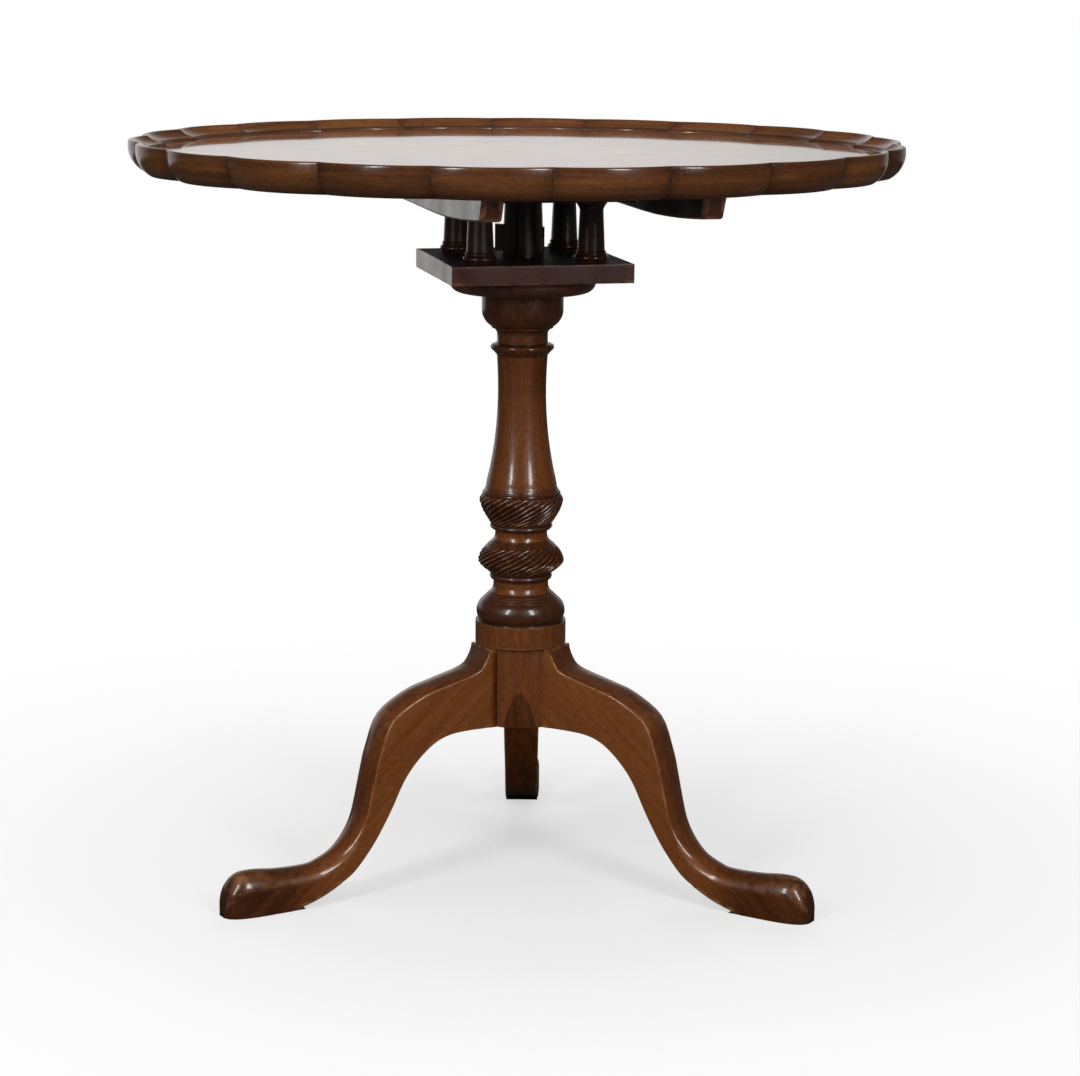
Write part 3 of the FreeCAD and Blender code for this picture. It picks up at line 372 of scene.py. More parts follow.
# %% [markdown]
# ## Wood finishes
# One function makes every mahogany: a colour ramp over the figure's tone and the piece's own tone, which
# on some pieces carries painted light and shade, dark pores, then ageing and polish. Ageing lightens
# arrises with rubbed polish and a painted highlight, and darkens hollows with dirt and painted shade. The
# table's parts differ in colour and gloss. The base is a mid red-brown, the cage nearly black, the rim's
# segments differ from one to the next, and the tray is the glossiest.

# %% Mahogany
# The darkest wood, as a share of the dark colour, and how much of it shows in the pores
DARKEST = 0.4
PORE_SHARE = 0.55
# How much of the dirt and painted shade shows in the hollows
SHADE_AND_DIRT_SHARE = 0.8
# How much duller the polish is in hollows
HOLLOW_DULL = 0.3


def group_node(tree, group, **inputs):
    """The outputs of a node group."""
    return add_node(tree, "ShaderNodeGroup", {"node_tree": group}, **inputs).outputs


def lengthways(tree):
    """Object coordinates, turned so that the grain runs along the table's X."""
    made = add_node(tree, "ShaderNodeMapping", Vector=object_place(tree), Rotation=(0.0, math.pi / 2, 0.0))
    return made.outputs[0]


def cover(tree, height, strength, depth, **inputs):
    """Give a material its surface, with a bump whose depth is in millimetres."""
    bump = add_node(tree, "ShaderNodeBump", Height=height, Strength=strength, Distance=depth * MM)
    show(tree, add_node(tree, "ShaderNodeBsdfPrincipled", Normal=bump.outputs[0], **inputs))


def ramp(tree, value, stops):
    """A colour for each value, between the listed stops."""
    made = add_node(tree, "ShaderNodeValToRGB", Fac=value)
    elements = made.color_ramp.elements
    while len(elements) < len(stops):
        elements.new(0.5)
    for element, (position, colour) in zip(elements, stops):
        element.position = position
        element.color = (*colour, 1.0)
    return made.outputs["Color"]


def mahogany(name, colours, gloss, fleck=0.5, wear_and_highlight=0.5, coat=0.35, sheen=0.5, along_x=False):
    """A polished mahogany. Its grain follows the piece's grain attribute, or the table's X."""
    material = bpy.data.materials.new(name)
    tree = empty_tree(material)
    place = lengthways(tree) if along_x else attribute(tree, "grain", "Vector")
    figure = group_node(tree, FIGURE, Grain=place, Fleck=fleck)
    # The piece's tone attribute, which on the legs, the pillar and the rim carries painted light and shade
    tone = plus(tree, figure["Tone"], attribute(tree, "tone"))
    dark, middle, light = colours
    darkest = tuple(channel * DARKEST for channel in dark)
    colour = ramp(tree, tone, [(0.08, darkest), (0.30, dark), (0.50, middle), (0.72, light)])
    colour = blend(tree, times(tree, figure["Pores"], PORE_SHARE), colour, darkest)
    aged_and_shaded = group_node(tree, AGE_AND_SHADE, Color=colour, Wear=wear_and_highlight, Dirt=SHADE_AND_DIRT_SHARE)
    polish = group_node(tree, POLISH, Least=gloss[0], Most=gloss[1])
    rough = plus(tree, polish["Roughness"], times(tree, aged_and_shaded["Hollow"], HOLLOW_DULL))
    glaze = times(tree, maths(tree, "SUBTRACT", 1.0, aged_and_shaded["Hollow"]), coat)
    cover(tree, times(tree, figure["Pores"], -1.0), 0.12, 0.15, Base_Color=aged_and_shaded["Color"], Roughness=rough,
          Coat_Weight=glaze, Coat_Roughness=0.1, Specular_IOR_Level=sheen)
    return material


TRAY_TOP = 0.7126
# Shrinkage cracks in the board: place across the grain, then the start and the end along it
CRACKS = ((0.008, -0.303, -0.228), (-0.090, 0.109, 0.266))
CRACK_TAPER = 0.02
CRACK_DIRT = (0.012, 0.006, 0.004)
DRY_WOOD = (0.05, 0.026, 0.016)
BOARD_COLOURS = [(0.32, (0.08, 0.026, 0.010)), (0.5, (0.165, 0.057, 0.020)), (0.7, (0.27, 0.105, 0.038))]


def crack_mask(tree, along, across):
    """One where the board has cracked along its grain."""
    mask = 0.0
    for place, start, end in CRACKS:
        offset = maths(tree, "ABSOLUTE", maths(tree, "SUBTRACT", across, place))
        line = ease(tree, offset, 0.9 * MM, 0.2 * MM)
        begun = times(tree, line, ease(tree, along, start, start + CRACK_TAPER))
        ended = times(tree, begun, ease(tree, along, end, end - CRACK_TAPER))
        mask = maths(tree, "MAXIMUM", mask, ended)
    return mask


def tray_finish():
    """The board: high polish on top, dry underneath, with the grain along X."""
    material = bpy.data.materials.new("board_mahogany")
    tree = empty_tree(material)
    parts = add_node(tree, "ShaderNodeSeparateXYZ", Vector=object_place(tree)).outputs
    along = lengthways(tree)
    figure = group_node(tree, FIGURE, Grain=along, Fleck=0.3)
    colour = ramp(tree, figure["Tone"], BOARD_COLOURS)
    top = ease(tree, parts["Z"], TRAY_TOP - 0.2 * MM, TRAY_TOP)
    crack = times(tree, crack_mask(tree, parts["X"], parts["Y"]), top)
    colour = blend(tree, top, blend(tree, 0.45, colour, DRY_WOOD), colour)
    colour = blend(tree, times(tree, crack, 0.85), colour, CRACK_DIRT)
    polish = group_node(tree, POLISH, Least=0.07, Most=0.15)["Roughness"]
    rough = ease(tree, top, 0.0, 1.0, 0.6, polish, "LINEAR")
    ripple = stretched_noise(tree, along, 60.0, 0.08, 2.0)
    height = maths(tree, "SUBTRACT", times(tree, ripple, 0.06), crack)
    cover(tree, height, 0.3, 0.3, Base_Color=colour, Roughness=rough, Coat_Weight=times(tree, top, 0.9),
          Coat_Roughness=0.04)
    return material


# The dark, middle and light colours of each wood
BASE_COLOURS = (0.062, 0.016, 0.0030), (0.142, 0.039, 0.0068), (0.228, 0.070, 0.0145)
RIM_COLOURS = (0.024, 0.0076, 0.0026), (0.078, 0.0255, 0.0072), (0.165, 0.058, 0.0155)
CAGE_COLOURS = (0.014, 0.0042, 0.0030), (0.042, 0.0110, 0.0070), (0.095, 0.028, 0.018)
base_wood = mahogany("base_mahogany", BASE_COLOURS, (0.26, 0.40), fleck=0.42, wear_and_highlight=0.6, coat=0.6, sheen=0.4)
rim_wood = mahogany("rim_mahogany", RIM_COLOURS, (0.18, 0.30), fleck=0.22, wear_and_highlight=0.3, coat=0.5)
cage_wood = mahogany("cage_mahogany", CAGE_COLOURS, (0.22, 0.38), fleck=0.25, wear_and_highlight=0.7, coat=0.4)
block_wood = mahogany("cage_mahogany_block", CAGE_COLOURS, (0.24, 0.40), fleck=0.25, along_x=True)
board_wood = tray_finish()
print("woods:", [wood.name for wood in (base_wood, rim_wood, cage_wood, block_wood, board_wood)])

# %% [markdown]
# ## Metal finishes
# The catch is old brass, dulled where it isn't touched. The strap under the drum and the wood screws are
# dark iron.

# %% Brass, iron and steel


def metal(name, bright, dull, gloss, metallic=1.0):
    """A metal with patches of tarnish."""
    material = bpy.data.materials.new(name)
    tree = empty_tree(material)
    mottle = patches(tree, 160.0, 6.0)
    tarnish = ease(tree, mottle, 0.38, 0.66)
    rough = ease(tree, tarnish, 0.0, 1.0, *gloss, "LINEAR")
    cover(tree, mottle, 0.15, 0.2, Base_Color=blend(tree, tarnish, bright, dull), Roughness=rough,
          Metallic=metallic)
    return material


brass = metal("brass", (0.62, 0.42, 0.16), (0.24, 0.15, 0.06), (0.22, 0.5))
iron = metal("iron", (0.055, 0.05, 0.047), (0.05, 0.026, 0.016), (0.42, 0.75), 0.7)
steel = metal("spring_steel", (0.42, 0.42, 0.43), (0.2, 0.19, 0.18), (0.25, 0.45))
print("metals:", brass.name, iron.name, steel.name)

# %% [markdown]
# ## From mesh to piece
# Every new piece ends the same way: its normals are set, its grain and relief are written down, and it
# rides on the body of the solid that it stands for. Real edges are never knife sharp, so pieces get small
# rounded arrises that catch the light.

# %% Finish a piece
TINY = 0.001 * MM
SHARP_ANGLE = 42
GRAIN_SHIFT = Vector((0.37, 0.61, 0.83))


def outwards(degrees):
    """The level direction at an angle about Z."""
    angle = math.radians(degrees)
    return Vector((math.cos(angle), math.sin(angle), 0))


def verts_of(parts):
    return [item for item in parts if isinstance(item, bmesh.types.BMVert)]


def face_out(bm):
    """Turn every face outwards."""
    bmesh.ops.recalc_face_normals(bm, faces=bm.faces)


def close(bm):
    """Fill the holes that are left."""
    bmesh.ops.holes_fill(bm, edges=[edge for edge in bm.edges if edge.is_boundary])


def cut(bm, place, normal, **clear):
    """Cut the whole mesh along a plane."""
    bmesh.ops.bisect_plane(bm, geom=bm.verts[:] + bm.edges[:] + bm.faces[:], dist=TINY, plane_co=place,
                           plane_no=normal, **clear)


def round_off(bm, parts, offset, segments=3, affect="EDGES", clamp=False):
    """Round edges or corners, by an offset in millimetres."""
    bmesh.ops.bevel(bm, geom=parts, offset=offset * MM, segments=segments, profile=0.5, affect=affect,
                    material=-1, clamp_overlap=clamp)


def draw_out(bm, faces, step):
    """Draw faces out by a step."""
    grown = bmesh.ops.extrude_face_region(bm, geom=faces)["geom"]
    bmesh.ops.translate(bm, verts=verts_of(grown), vec=step)


def bridge(bm, loops):
    """Join each ring of edges to the next."""
    for first, second in zip(loops, loops[1:]):
        bmesh.ops.bridge_loops(bm, edges=first + second)


def ring_across(bm, segments, radius, place):
    """The vertices of a circle that faces along X, with its radius in millimetres."""
    ring = bmesh.ops.create_circle(bm, segments=segments, radius=radius * MM)["verts"]
    bmesh.ops.rotate(bm, verts=ring, matrix=Matrix.Rotation(math.pi / 2, 3, "Y"))
    bmesh.ops.translate(bm, verts=ring, vec=place)
    return ring


def float_layer(layers, name):
    """The layer of this name, made if it isn't there."""
    return layers.float.get(name) or layers.float.new(name)


def mark_relief(bm):
    """Write down how far each vertex stands out of its neighbours, or lies in, as a mean angle."""
    layer = float_layer(bm.verts.layers, "relief")
    for vert in bm.verts:
        bends = [edge.calc_face_angle_signed(0.0) for edge in vert.link_edges]
        vert[layer] += sum(bends) / max(len(bends), 1)


def mark_grain(bm, along, seed):
    """Write down each vertex's place in the wood, with Z along the grain and a shift for each piece."""
    layer = bm.verts.layers.float_vector.new("grain")
    turn = Vector(along).rotation_difference(Vector((0, 0, 1))).to_matrix()
    for vert in bm.verts:
        vert[layer] = turn @ vert.co + GRAIN_SHIFT * seed


def dress(bm, name, body, material, nodes, along=(0, 0, 1), seed=0):
    """Make a piece of a finished bmesh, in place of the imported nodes."""
    bmesh.ops.remove_doubles(bm, verts=bm.verts, dist=2 * TINY)
    face_out(bm)
    mark_relief(bm)
    if "grain" not in bm.verts.layers.float_vector:
        mark_grain(bm, along, seed)
    piece = place_object(bm, name, material)
    piece.data.shade_smooth()
    piece.data.set_sharp_from_angle(angle=math.radians(SHARP_ANGLE))
    normals = piece.modifiers.new("face_normals", "WEIGHTED_NORMAL")
    normals.keep_sharp = True
    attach(piece, body)
    if nodes:
        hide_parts(*nodes)
    return piece


print("pieces: edges stay sharp from", SHARP_ANGLE, "degrees")

# %% [markdown]
# ## Turned pieces
# The pillar, the disc and the cage's columns come off a lathe, so each is half a profile spun about its
# axis. A profile is a short list of radii and heights in millimetres, and a third number bends the edge
# that follows, outwards if it is positive. The profile's corners are rounded before the spin.

# %% Spin a profile
CORNER_ANGLE = 25
LONGEST_EDGE = 4.0


def bend_points(start, end, bend):
    """Points on the arc between two points, which turns by a number of degrees."""
    chord = end - start
    count = max(4, int(abs(bend) / 6), int(chord.length / 5))
    points = []
    for step in range(1, count):
        sweep = math.radians(bend) * step / count
        reach = math.sin(sweep / 2) / math.sin(math.radians(bend) / 2)
        turn = Matrix.Rotation((sweep - math.radians(bend)) / 2, 2)
        points.append(start + turn @ chord * reach)
    return points


def profile_wire(bm, profile, corner):
    """The profile as a run of edges in the XZ plane, with its corners rounded."""
    points = []
    for row, after in zip(profile, profile[1:] + profile[-1:]):
        start = Vector(row[:2])
        points.append(start)
        if len(row) > 2:
            points += bend_points(start, Vector(after[:2]), row[2])
    verts = [bm.verts.new((point.x * MM, 0, point.y * MM)) for point in points]
    for first, second in zip(verts, verts[1:]):
        bm.edges.new((first, second))
    sharp = []
    for before, here, after in zip(points, points[1:], points[2:]):
        if (here - before).angle(after - here) > math.radians(CORNER_ANGLE):
            sharp.append(verts[points.index(here)])
    round_off(bm, sharp, corner, affect="VERTICES")
    for edge in list(bm.edges):
        cuts = int(edge.calc_length() / (LONGEST_EDGE * MM))
        if cuts:
            bmesh.ops.subdivide_edges(bm, edges=[edge], cuts=cuts)


def spin(bm, angle, steps, use_merge=False):
    """Spin all that there is about Z."""
    bmesh.ops.spin(bm, geom=bm.verts[:] + bm.edges[:], cent=(0, 0, 0), axis=(0, 0, 1), angle=angle,
                   steps=steps, use_merge=use_merge)
    bmesh.ops.remove_doubles(bm, verts=bm.verts, dist=TINY)


def turned(profile, turns, corner=0.5):
    """A bmesh of the profile spun all the way round."""
    bm = bmesh.new()
    profile_wire(bm, profile, corner)
    spin(bm, 2 * math.pi, turns, use_merge=True)
    return bm


print("profiles: corners sharper than", CORNER_ANGLE, "degrees are rounded")

# %% [markdown]
# ## Pillar
# The pillar is one turning, from the drum that the legs join to the spindle inside the cage. Its two
# knops are carved afterwards with spiral gadroons. In a mesh that is the same: the profile is spun with
# eight columns to each gadroon, and then the rows of each carved band are turned a little further the
# higher they are, with every column between two crests pressed in. The drum's flats are cut with planes.

# %% Turn and carve the pillar
GADROONS = 28
COLUMNS_EACH = 8
GADROON_DEPTH = 0.066
VALLEY_SHAPE = 1.7
BAND_FADE = 7
# Relief that the carving adds: in the narrow valley, towards the valley, and everywhere
VALLEY_RELIEF, FLANK_RELIEF, BAND_RELIEF = 0.58, 0.12, -0.2
LEG_ANGLES = (76.4, 196.4, 316.4)
DRUM_RADIUS = 41.0
DRUM_BOTTOM = 154.4
SHOULDER = 577.9
LEG_WIDTH = 38.0
LEG_TOP = 232.5
SEAT = math.sqrt(DRUM_RADIUS ** 2 - LEG_WIDTH ** 2 / 4)
PARED_DEPTH = 3.7
PARED_HEIGHT = 35.0


def smooth_between(rows, place):
    """Values at a place along the rows, on a smooth curve through them."""
    index = min(int(place), len(rows) - 2)
    share = place - index
    before, here, after, beyond = (rows[min(max(index + step, 0), len(rows) - 1)] for step in (-1, 0, 1, 2))
    values = []
    for a, b, c, d in zip(before, here, after, beyond):
        slope_here, slope_after = (c - a) / 2, (d - b) / 2
        bend = 2 * b - 2 * c + slope_here + slope_after
        sag = 3 * c - 3 * b - 2 * slope_here - slope_after
        values.append(((bend * share + sag) * share + slope_here) * share + b)
    return values


def smooth_rows(rows, steps):
    """The rows with smooth steps put in between."""
    return [smooth_between(rows, step / steps) for step in range((len(rows) - 1) * steps + 1)]


# Up a carved band: the share of its height, the crest's radius, and the share of the twist
LOWER_ROWS = smooth_rows([(0.0, 32.3, 0.0), (0.19, 38.4, 0.19), (0.38, 42.0, 0.38), (0.54, 41.3, 0.54),
                          (0.70, 39.8, 0.70), (0.86, 37.0, 0.86), (1.0, 33.7, 1.0)], 3)
UPPER_ROWS = smooth_rows([(0.0, 30.8, 0.0), (0.15, 33.5, 0.22), (0.29, 35.8, 0.40), (0.47, 38.4, 0.58),
                          (0.66, 40.1, 0.74), (0.82, 41.0, 0.87), (1.0, 38.1, 1.0)], 3)
# A carved band: its bottom, its height, its whole twist in degrees, and its rows
LOWER_BAND = (304.5, 25.0, 64.0, LOWER_ROWS)
UPPER_BAND = (353.0, 27.5, 76.0, UPPER_ROWS)


def twist_at(rows, share):
    """The share of the twist at a share of a band's height."""
    for low, high in zip(rows, rows[1:]):
        if share <= high[0]:
            return low[2] + (high[2] - low[2]) * max(share - low[0], 0.0) / (high[0] - low[0])
    return 1.0


def ring_rows(neck, bottom):
    """The thumb moulding under a knop."""
    return [(neck, bottom), (neck + 1.3, bottom, 45), (30.6, bottom + 3.6), (30.2, bottom + 4.8),
            (29.6, bottom + 4.8)]


def band_rows(band):
    """A carved band's part of the profile."""
    bottom, height, twist, rows = band
    return [(radius, bottom + height * share) for share, radius, turn in rows]


def fine_lines(radius, height, radius_step, height_step, count):
    """Fine turned lines on a slope: small treads, each with a little riser."""
    rows = []
    for index in range(count):
        rows += [(radius, height), (radius - 0.8, height + 0.15)]
        radius -= radius_step
        height += height_step
    return rows


PILLAR = [
    (0.0, DRUM_BOTTOM), (DRUM_RADIUS, DRUM_BOTTOM), (DRUM_RADIUS, 233.0), (44.3, 233.0), (44.3, 255.5),
    (41.3, 255.5), (41.3, 257.7, 40), (43.2, 265.1, 45), *fine_lines(38.5, 275.7, 2.1, 2.1, 4),
    (31.4, 282.1, -45), (26.9, 290.0), *ring_rows(26.9, 296.0), (29.6, 302.2), *band_rows(LOWER_BAND),
    *fine_lines(32.4, 331.2, 2.1, 1.9, 2), (29.1, 333.6, -45), (25.4, 341.0), *ring_rows(25.4, 345.3),
    (29.6, 351.5),
    *band_rows(UPPER_BAND), (37.6, 380.7, 120), (36.9, 383.5), (34.6, 387.5, 8), (31.6, 403.0, -11.5),
    (23.3, 479.4, -4.5), (24.6, 517.0), (30.2, 522.9, 110), (28.8, 527.3), (24.6, 528.4), (24.6, 538.4, -40),
    (28.3, 542.9), (29.8, 543.1), (29.9, 545.0), (31.0, 545.2, 55), (39.5, 560.5), (39.5, SHOULDER),
    (20.0, SHOULDER), (20.0, 612.0), (17.8, 669.3), (17.3, 669.3), (17.3, 693.0), (0.0, 693.0),
]


def carve(bm):
    """Turn the rows of the carved bands and press in the valleys between the gadroons."""
    relief = float_layer(bm.verts.layers, "relief")
    for vert in bm.verts:
        angle = math.atan2(vert.co.y, vert.co.x)
        radius = math.hypot(vert.co.x, vert.co.y)
        between = abs(2 * ((angle * GADROONS / (2 * math.pi)) % 1.0) - 1)
        for bottom, height, twist, rows in (LOWER_BAND, UPPER_BAND):
            share = (vert.co.z / MM - bottom) / height
            angle += math.radians(twist) * twist_at(rows, share)
            if 0.01 < share < 0.99:
                fade = min(1.0, share * BAND_FADE, (1 - share) * BAND_FADE)
                radius *= 1 - GADROON_DEPTH * fade * between ** VALLEY_SHAPE
                vert[relief] = fade * (VALLEY_RELIEF * between ** 12 + FLANK_RELIEF * between + BAND_RELIEF)
        vert.co.x = radius * math.cos(angle)
        vert.co.y = radius * math.sin(angle)


def flatten(bm, angle, reach, lean, top):
    """Cut a flat on the drum's side: how far out it lies at the bottom, and how much further at its top."""
    out = outwards(angle)
    foot = out * (reach * MM) + Vector((0, 0, DRUM_BOTTOM * MM))
    rise = (top - DRUM_BOTTOM) * MM
    normal = (out * rise - Vector((0, 0, lean * MM))).normalized()
    low, high = (DRUM_BOTTOM - 0.1) * MM, (top + 0.1) * MM
    near = [face for face in bm.faces if face.calc_center_median().dot(out) > 25 * MM
            and low < face.calc_center_median().z < high]
    parts = set(near)
    for face in near:
        parts.update(face.edges, face.verts)
    bmesh.ops.bisect_plane(bm, geom=list(parts), dist=TINY, plane_co=foot, plane_no=normal)
    for vert in bm.verts:
        if low < vert.co.z < high:
            spare = vert.co.dot(out) - (reach * MM + lean * MM * (vert.co.z - DRUM_BOTTOM * MM) / rise)
            if spare > 0:
                vert.co -= out * spare


# Quirks darkened with painted shade and dirt, as heights on the pillar
DARK_LINES = (233.4, 256.2, 257.4, 295.6, 300.8, 344.8, 350.2, 381.0, 517.2, 528.0, 542.9, 545.1)
QUIRK_HALF = 0.7
QUIRK_SHADE_TONE = -0.45
# The pared flats face a little downwards and are darkened with painted shade
PARED_SHADE_TONE = -0.16
# How much lighter or darker the pillar is from one height to another. From the vase's top up, it is
# darker with painted shade under the tray; the spindle in the cage is stained dark and painted with
# shade as well
PILLAR_TONES_AND_SHADE = (
    (255, 284, -0.28), (284, 296, -0.03), (296, 304, -0.30), (304, 331, -0.26), (331, 336, -0.22),
    (345, 353, -0.30), (353, 384, -0.25), (384, 388, -0.16), (480, 517, -0.05), (517, 529, -0.16),
    (529, 539, -0.08), (539, 578, -0.20), (578, 700, -0.6),
)


def pillar_tone(place):
    """Pillar tone: painted shade and dirt in quirks, painted shade on pared flats and top, darker carving."""
    if min(abs(place.z / MM - height) for height in DARK_LINES) < QUIRK_HALF:
        return QUIRK_SHADE_TONE
    for low, high, tone in PILLAR_TONES_AND_SHADE:
        if low <= place.z / MM < high:
            return tone
    rise = (place.z / MM - DRUM_BOTTOM) / PARED_HEIGHT
    limit = (DRUM_RADIUS - PARED_DEPTH + PARED_DEPTH * rise - 0.05) * MM
    if rise < 1 and any(place.dot(outwards(angle + 180)) > limit for angle in LEG_ANGLES):
        return PARED_SHADE_TONE
    return 0.0


def make_pillar():
    bm = turned(PILLAR, GADROONS * COLUMNS_EACH, 0.4)
    carve(bm)
    for angle in LEG_ANGLES:
        flatten(bm, angle, SEAT, 0.0, LEG_TOP)
        flatten(bm, angle + 180, DRUM_RADIUS - PARED_DEPTH, PARED_DEPTH, DRUM_BOTTOM + PARED_HEIGHT)
    tone = bm.faces.layers.float.new("tone")
    for face in bm.faces:
        face[tone] = pillar_tone(face.calc_center_median())
    return dress(bm, "pillar.looks", "base", base_wood, ["pillar"], seed=1)


pillar = make_pillar()
print("pillar:", len(pillar.data.polygons), "faces")

# %% [markdown]
# ## Disc, plate and columns
# The cage's plate turns on a disc that sits on the pillar's shoulder. The plate is a plain square with a
# bore, made of loops that are bridged from the bore out to the arris and back, and its edges are rounded.
# A narrow margin of faces along the arris lets wear fade out there.

# %% Make the disc, the plate and the columns
COLUMN_PLACE = 53.7
COLUMN = [
    (0.0, 0.0), (14.5, 0.0), (14.7, 1.2, 130), (14.5, 6.4), (13.6, 6.6), (13.7, 7.2, 110), (13.5, 9.8),
    (13.0, 10.2), (11.3, 48.7, -25), (15.4, 55.7), (15.4, 58.0), (0.0, 58.0),
]
DISC = [(20.05, SHOULDER), (61.5, SHOULDER, 75), (70.5, 586.9), (70.5, 593.4), (20.05, 593.4),
        (20.05, SHOULDER)]
SIDE_STEPS = 64
PLATE_BORE = 20.1
PLATE_MARGIN = 4.0
PLATE_TONE = 0.2
DISC_TONE = 0.14


def loop_round(bm, radius, height):
    """A ring of edges about Z."""
    made = bmesh.ops.create_circle(bm, segments=SIDE_STEPS, radius=radius * MM)["verts"]
    bmesh.ops.translate(bm, verts=made, vec=(0, 0, height * MM))
    return list({edge for vert in made for edge in vert.link_edges})


def loop_square(bm, half, height):
    """A ring of edges pushed out into a square."""
    edges = loop_round(bm, half, height)
    for vert in {vert for edge in edges for vert in edge.verts}:
        grow = half * MM / max(abs(vert.co.x), abs(vert.co.y))
        vert.co.x *= grow
        vert.co.y *= grow
    return edges


def lighten(bm, tone):
    """Give a whole piece another tone."""
    layer = bm.faces.layers.float.new("tone")
    for face in bm.faces:
        face[layer] = tone


def make_plate():
    low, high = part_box("cage_plate")
    half = (high.x - low.x) / 2 / MM
    bottom, top = low.z / MM, high.z / MM
    inside = half - PLATE_MARGIN
    bm = bmesh.new()
    loops = [
        loop_round(bm, PLATE_BORE, bottom), loop_square(bm, inside, bottom), loop_square(bm, half, bottom),
        loop_square(bm, half, bottom + PLATE_MARGIN), loop_square(bm, half, top - PLATE_MARGIN),
        loop_square(bm, half, top), loop_square(bm, inside, top), loop_round(bm, PLATE_BORE, top),
    ]
    bridge(bm, loops + loops[:1])
    face_out(bm)
    arrises = [edge for edge in bm.edges if edge.calc_face_angle(0.0) > math.radians(60)
               and max(abs(edge.verts[0].co.x), abs(edge.verts[0].co.y)) > (half - 1) * MM]
    round_off(bm, arrises, 0.7)
    lighten(bm, PLATE_TONE)
    return dress(bm, "cage_plate.looks", "cage", cage_wood, ["cage_plate"], (0, 1, 0), 2)


def make_columns():
    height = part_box("cage_plate")[1].z
    reach = COLUMN_PLACE * MM
    places = [(x, y, height) for x in (-reach, reach) for y in (-reach, reach)]
    for index, place in enumerate(places, start=1):
        bm = turned(COLUMN, 72, 0.4)
        bmesh.ops.translate(bm, verts=bm.verts, vec=place)
        name = f"cage_column_{index:02d}"
        dress(bm, f"{name}.looks", "cage", cage_wood, [name], seed=2 + index)


def make_disc():
    bm = turned(DISC, 128)
    lighten(bm, DISC_TONE)
    return dress(bm, "bearing_disc.looks", "base", cage_wood, ["bearing_disc"], (1, 0, 0), 7)


disc = make_disc()
plate = make_plate()
make_columns()
print("disc and plate:", len(disc.data.polygons), "and", len(plate.data.polygons), "faces")

# %% [markdown]
# ## Legs
# A cabriole leg is sawn from a plank and shaped by hand: a flat underside, straight sides and a crowned
# top that swells over the toe. It is made as a row of rings from the drum to the toe, each bridged to the
# next. A few listed sections give the shape, and smooth steps between them give the rings.

# %% Loft the legs
LEG_ROOT = 44.3
LEG_REACH = 322.5
TOP_AT_DRUM = 232.95
RINGS_BETWEEN = 4
ARRIS_END = 205.0
CROWN_STEPS = 14
SIDE_MARGIN = 4.0
# The crown from which the leg's top begins to be round, and how much more makes it all round
FLAT_CROWN = 0.078
ROUND_CROWN = 0.12
SOLE_HEEL = 242.0
SOLE_BALL = LEG_REACH * 0.9
END_RISE = 4.3
FOOT_LENGTH = 60.0
# Painted light on the sides, painted shade over the top, a darker foot, and a painted shadow where the foot
# meets the floor, which is also marked as a hollow
SIDE_LIGHT_TONE, TOP_SHADE_TONE, FOOT_TONE, FLOOR_SHADE_TONE = 0.13, -0.13, -0.21, -0.25
FLOOR_SHADE_RELIEF = -1.1
# Place of the underside and of the top arris, out and up, then the width and the crown, all as shares
LEG_SECTIONS = [
    (0.000, 1.000, 0.000, 0.998, 1.00, 0.008), (0.020, 1.000, 0.017, 0.945, 1.00, 0.026),
    (0.050, 1.000, 0.052, 0.905, 1.00, 0.053), (0.137, 0.993, 0.172, 0.864, 1.00, 0.079),
    (0.198, 0.963, 0.268, 0.829, 1.00, 0.079), (0.252, 0.898, 0.376, 0.746, 0.99, 0.079),
    (0.302, 0.806, 0.424, 0.612, 0.97, 0.079), (0.338, 0.712, 0.444, 0.524, 0.95, 0.079),
    (0.381, 0.557, 0.466, 0.408, 0.93, 0.084), (0.424, 0.421, 0.486, 0.316, 0.91, 0.125),
    (0.464, 0.314, 0.518, 0.238, 0.90, 0.180), (0.525, 0.188, 0.558, 0.176, 0.90, 0.255),
    (0.590, 0.113, 0.614, 0.134, 0.90, 0.307), (0.672, 0.045, 0.675, 0.109, 0.91, 0.343),
    (0.790, -0.010, 0.790, 0.103, 0.94, 0.390), (0.882, -0.015, 0.882, 0.105, 0.97, 0.450),
    (0.935, -0.015, 0.938, 0.103, 0.91, 0.420), (0.972, -0.015, 0.974, 0.080, 0.75, 0.345),
    (0.990, -0.015, 0.991, 0.055, 0.54, 0.235), (0.998, -0.015, 0.998, 0.032, 0.33, 0.120),
]


def leg_ring(bm, under_out, under_up, top_out, top_up, width, crown, pull=0.0):
    """One ring of the leg, as edges: underside, sides with a margin below the arris, and a crowned top."""
    run = LEG_REACH - LEG_ROOT
    under = Vector((LEG_ROOT + under_out * run - pull, 0, under_up * DRUM_BOTTOM))
    arris = Vector((LEG_ROOT + top_out * run - pull, 0, top_up * TOP_AT_DRUM))
    up = (arris - under).normalized()
    half = Vector((0, LEG_WIDTH * width / 2, 0))
    margin = up * min(SIDE_MARGIN, (arris - under).length * 0.3)
    points = [under - half, under - half * 0.8, under + half * 0.8, under + half,
              under + half + margin, arris + half - margin]
    fullness = min(max((crown - FLAT_CROWN) / ROUND_CROWN, 0.0), 1.0)
    for step in range(CROWN_STEPS + 1):
        share = step / CROWN_STEPS
        across = (1 - fullness) * (1 - 2 * share) + fullness * math.cos(math.pi * share)
        lift = (1 - fullness) * (1 - across ** 2) + fullness * math.sqrt(max(1 - across ** 2, 0.0))
        points.append(arris + half * across + up * (crown * LEG_WIDTH * lift))
    points += [arris - half - margin, under - half + margin]
    verts = [bm.verts.new(point * MM) for point in points]
    return [bm.edges.new((first, second)) for first, second in zip(verts, verts[1:] + verts[:1])]


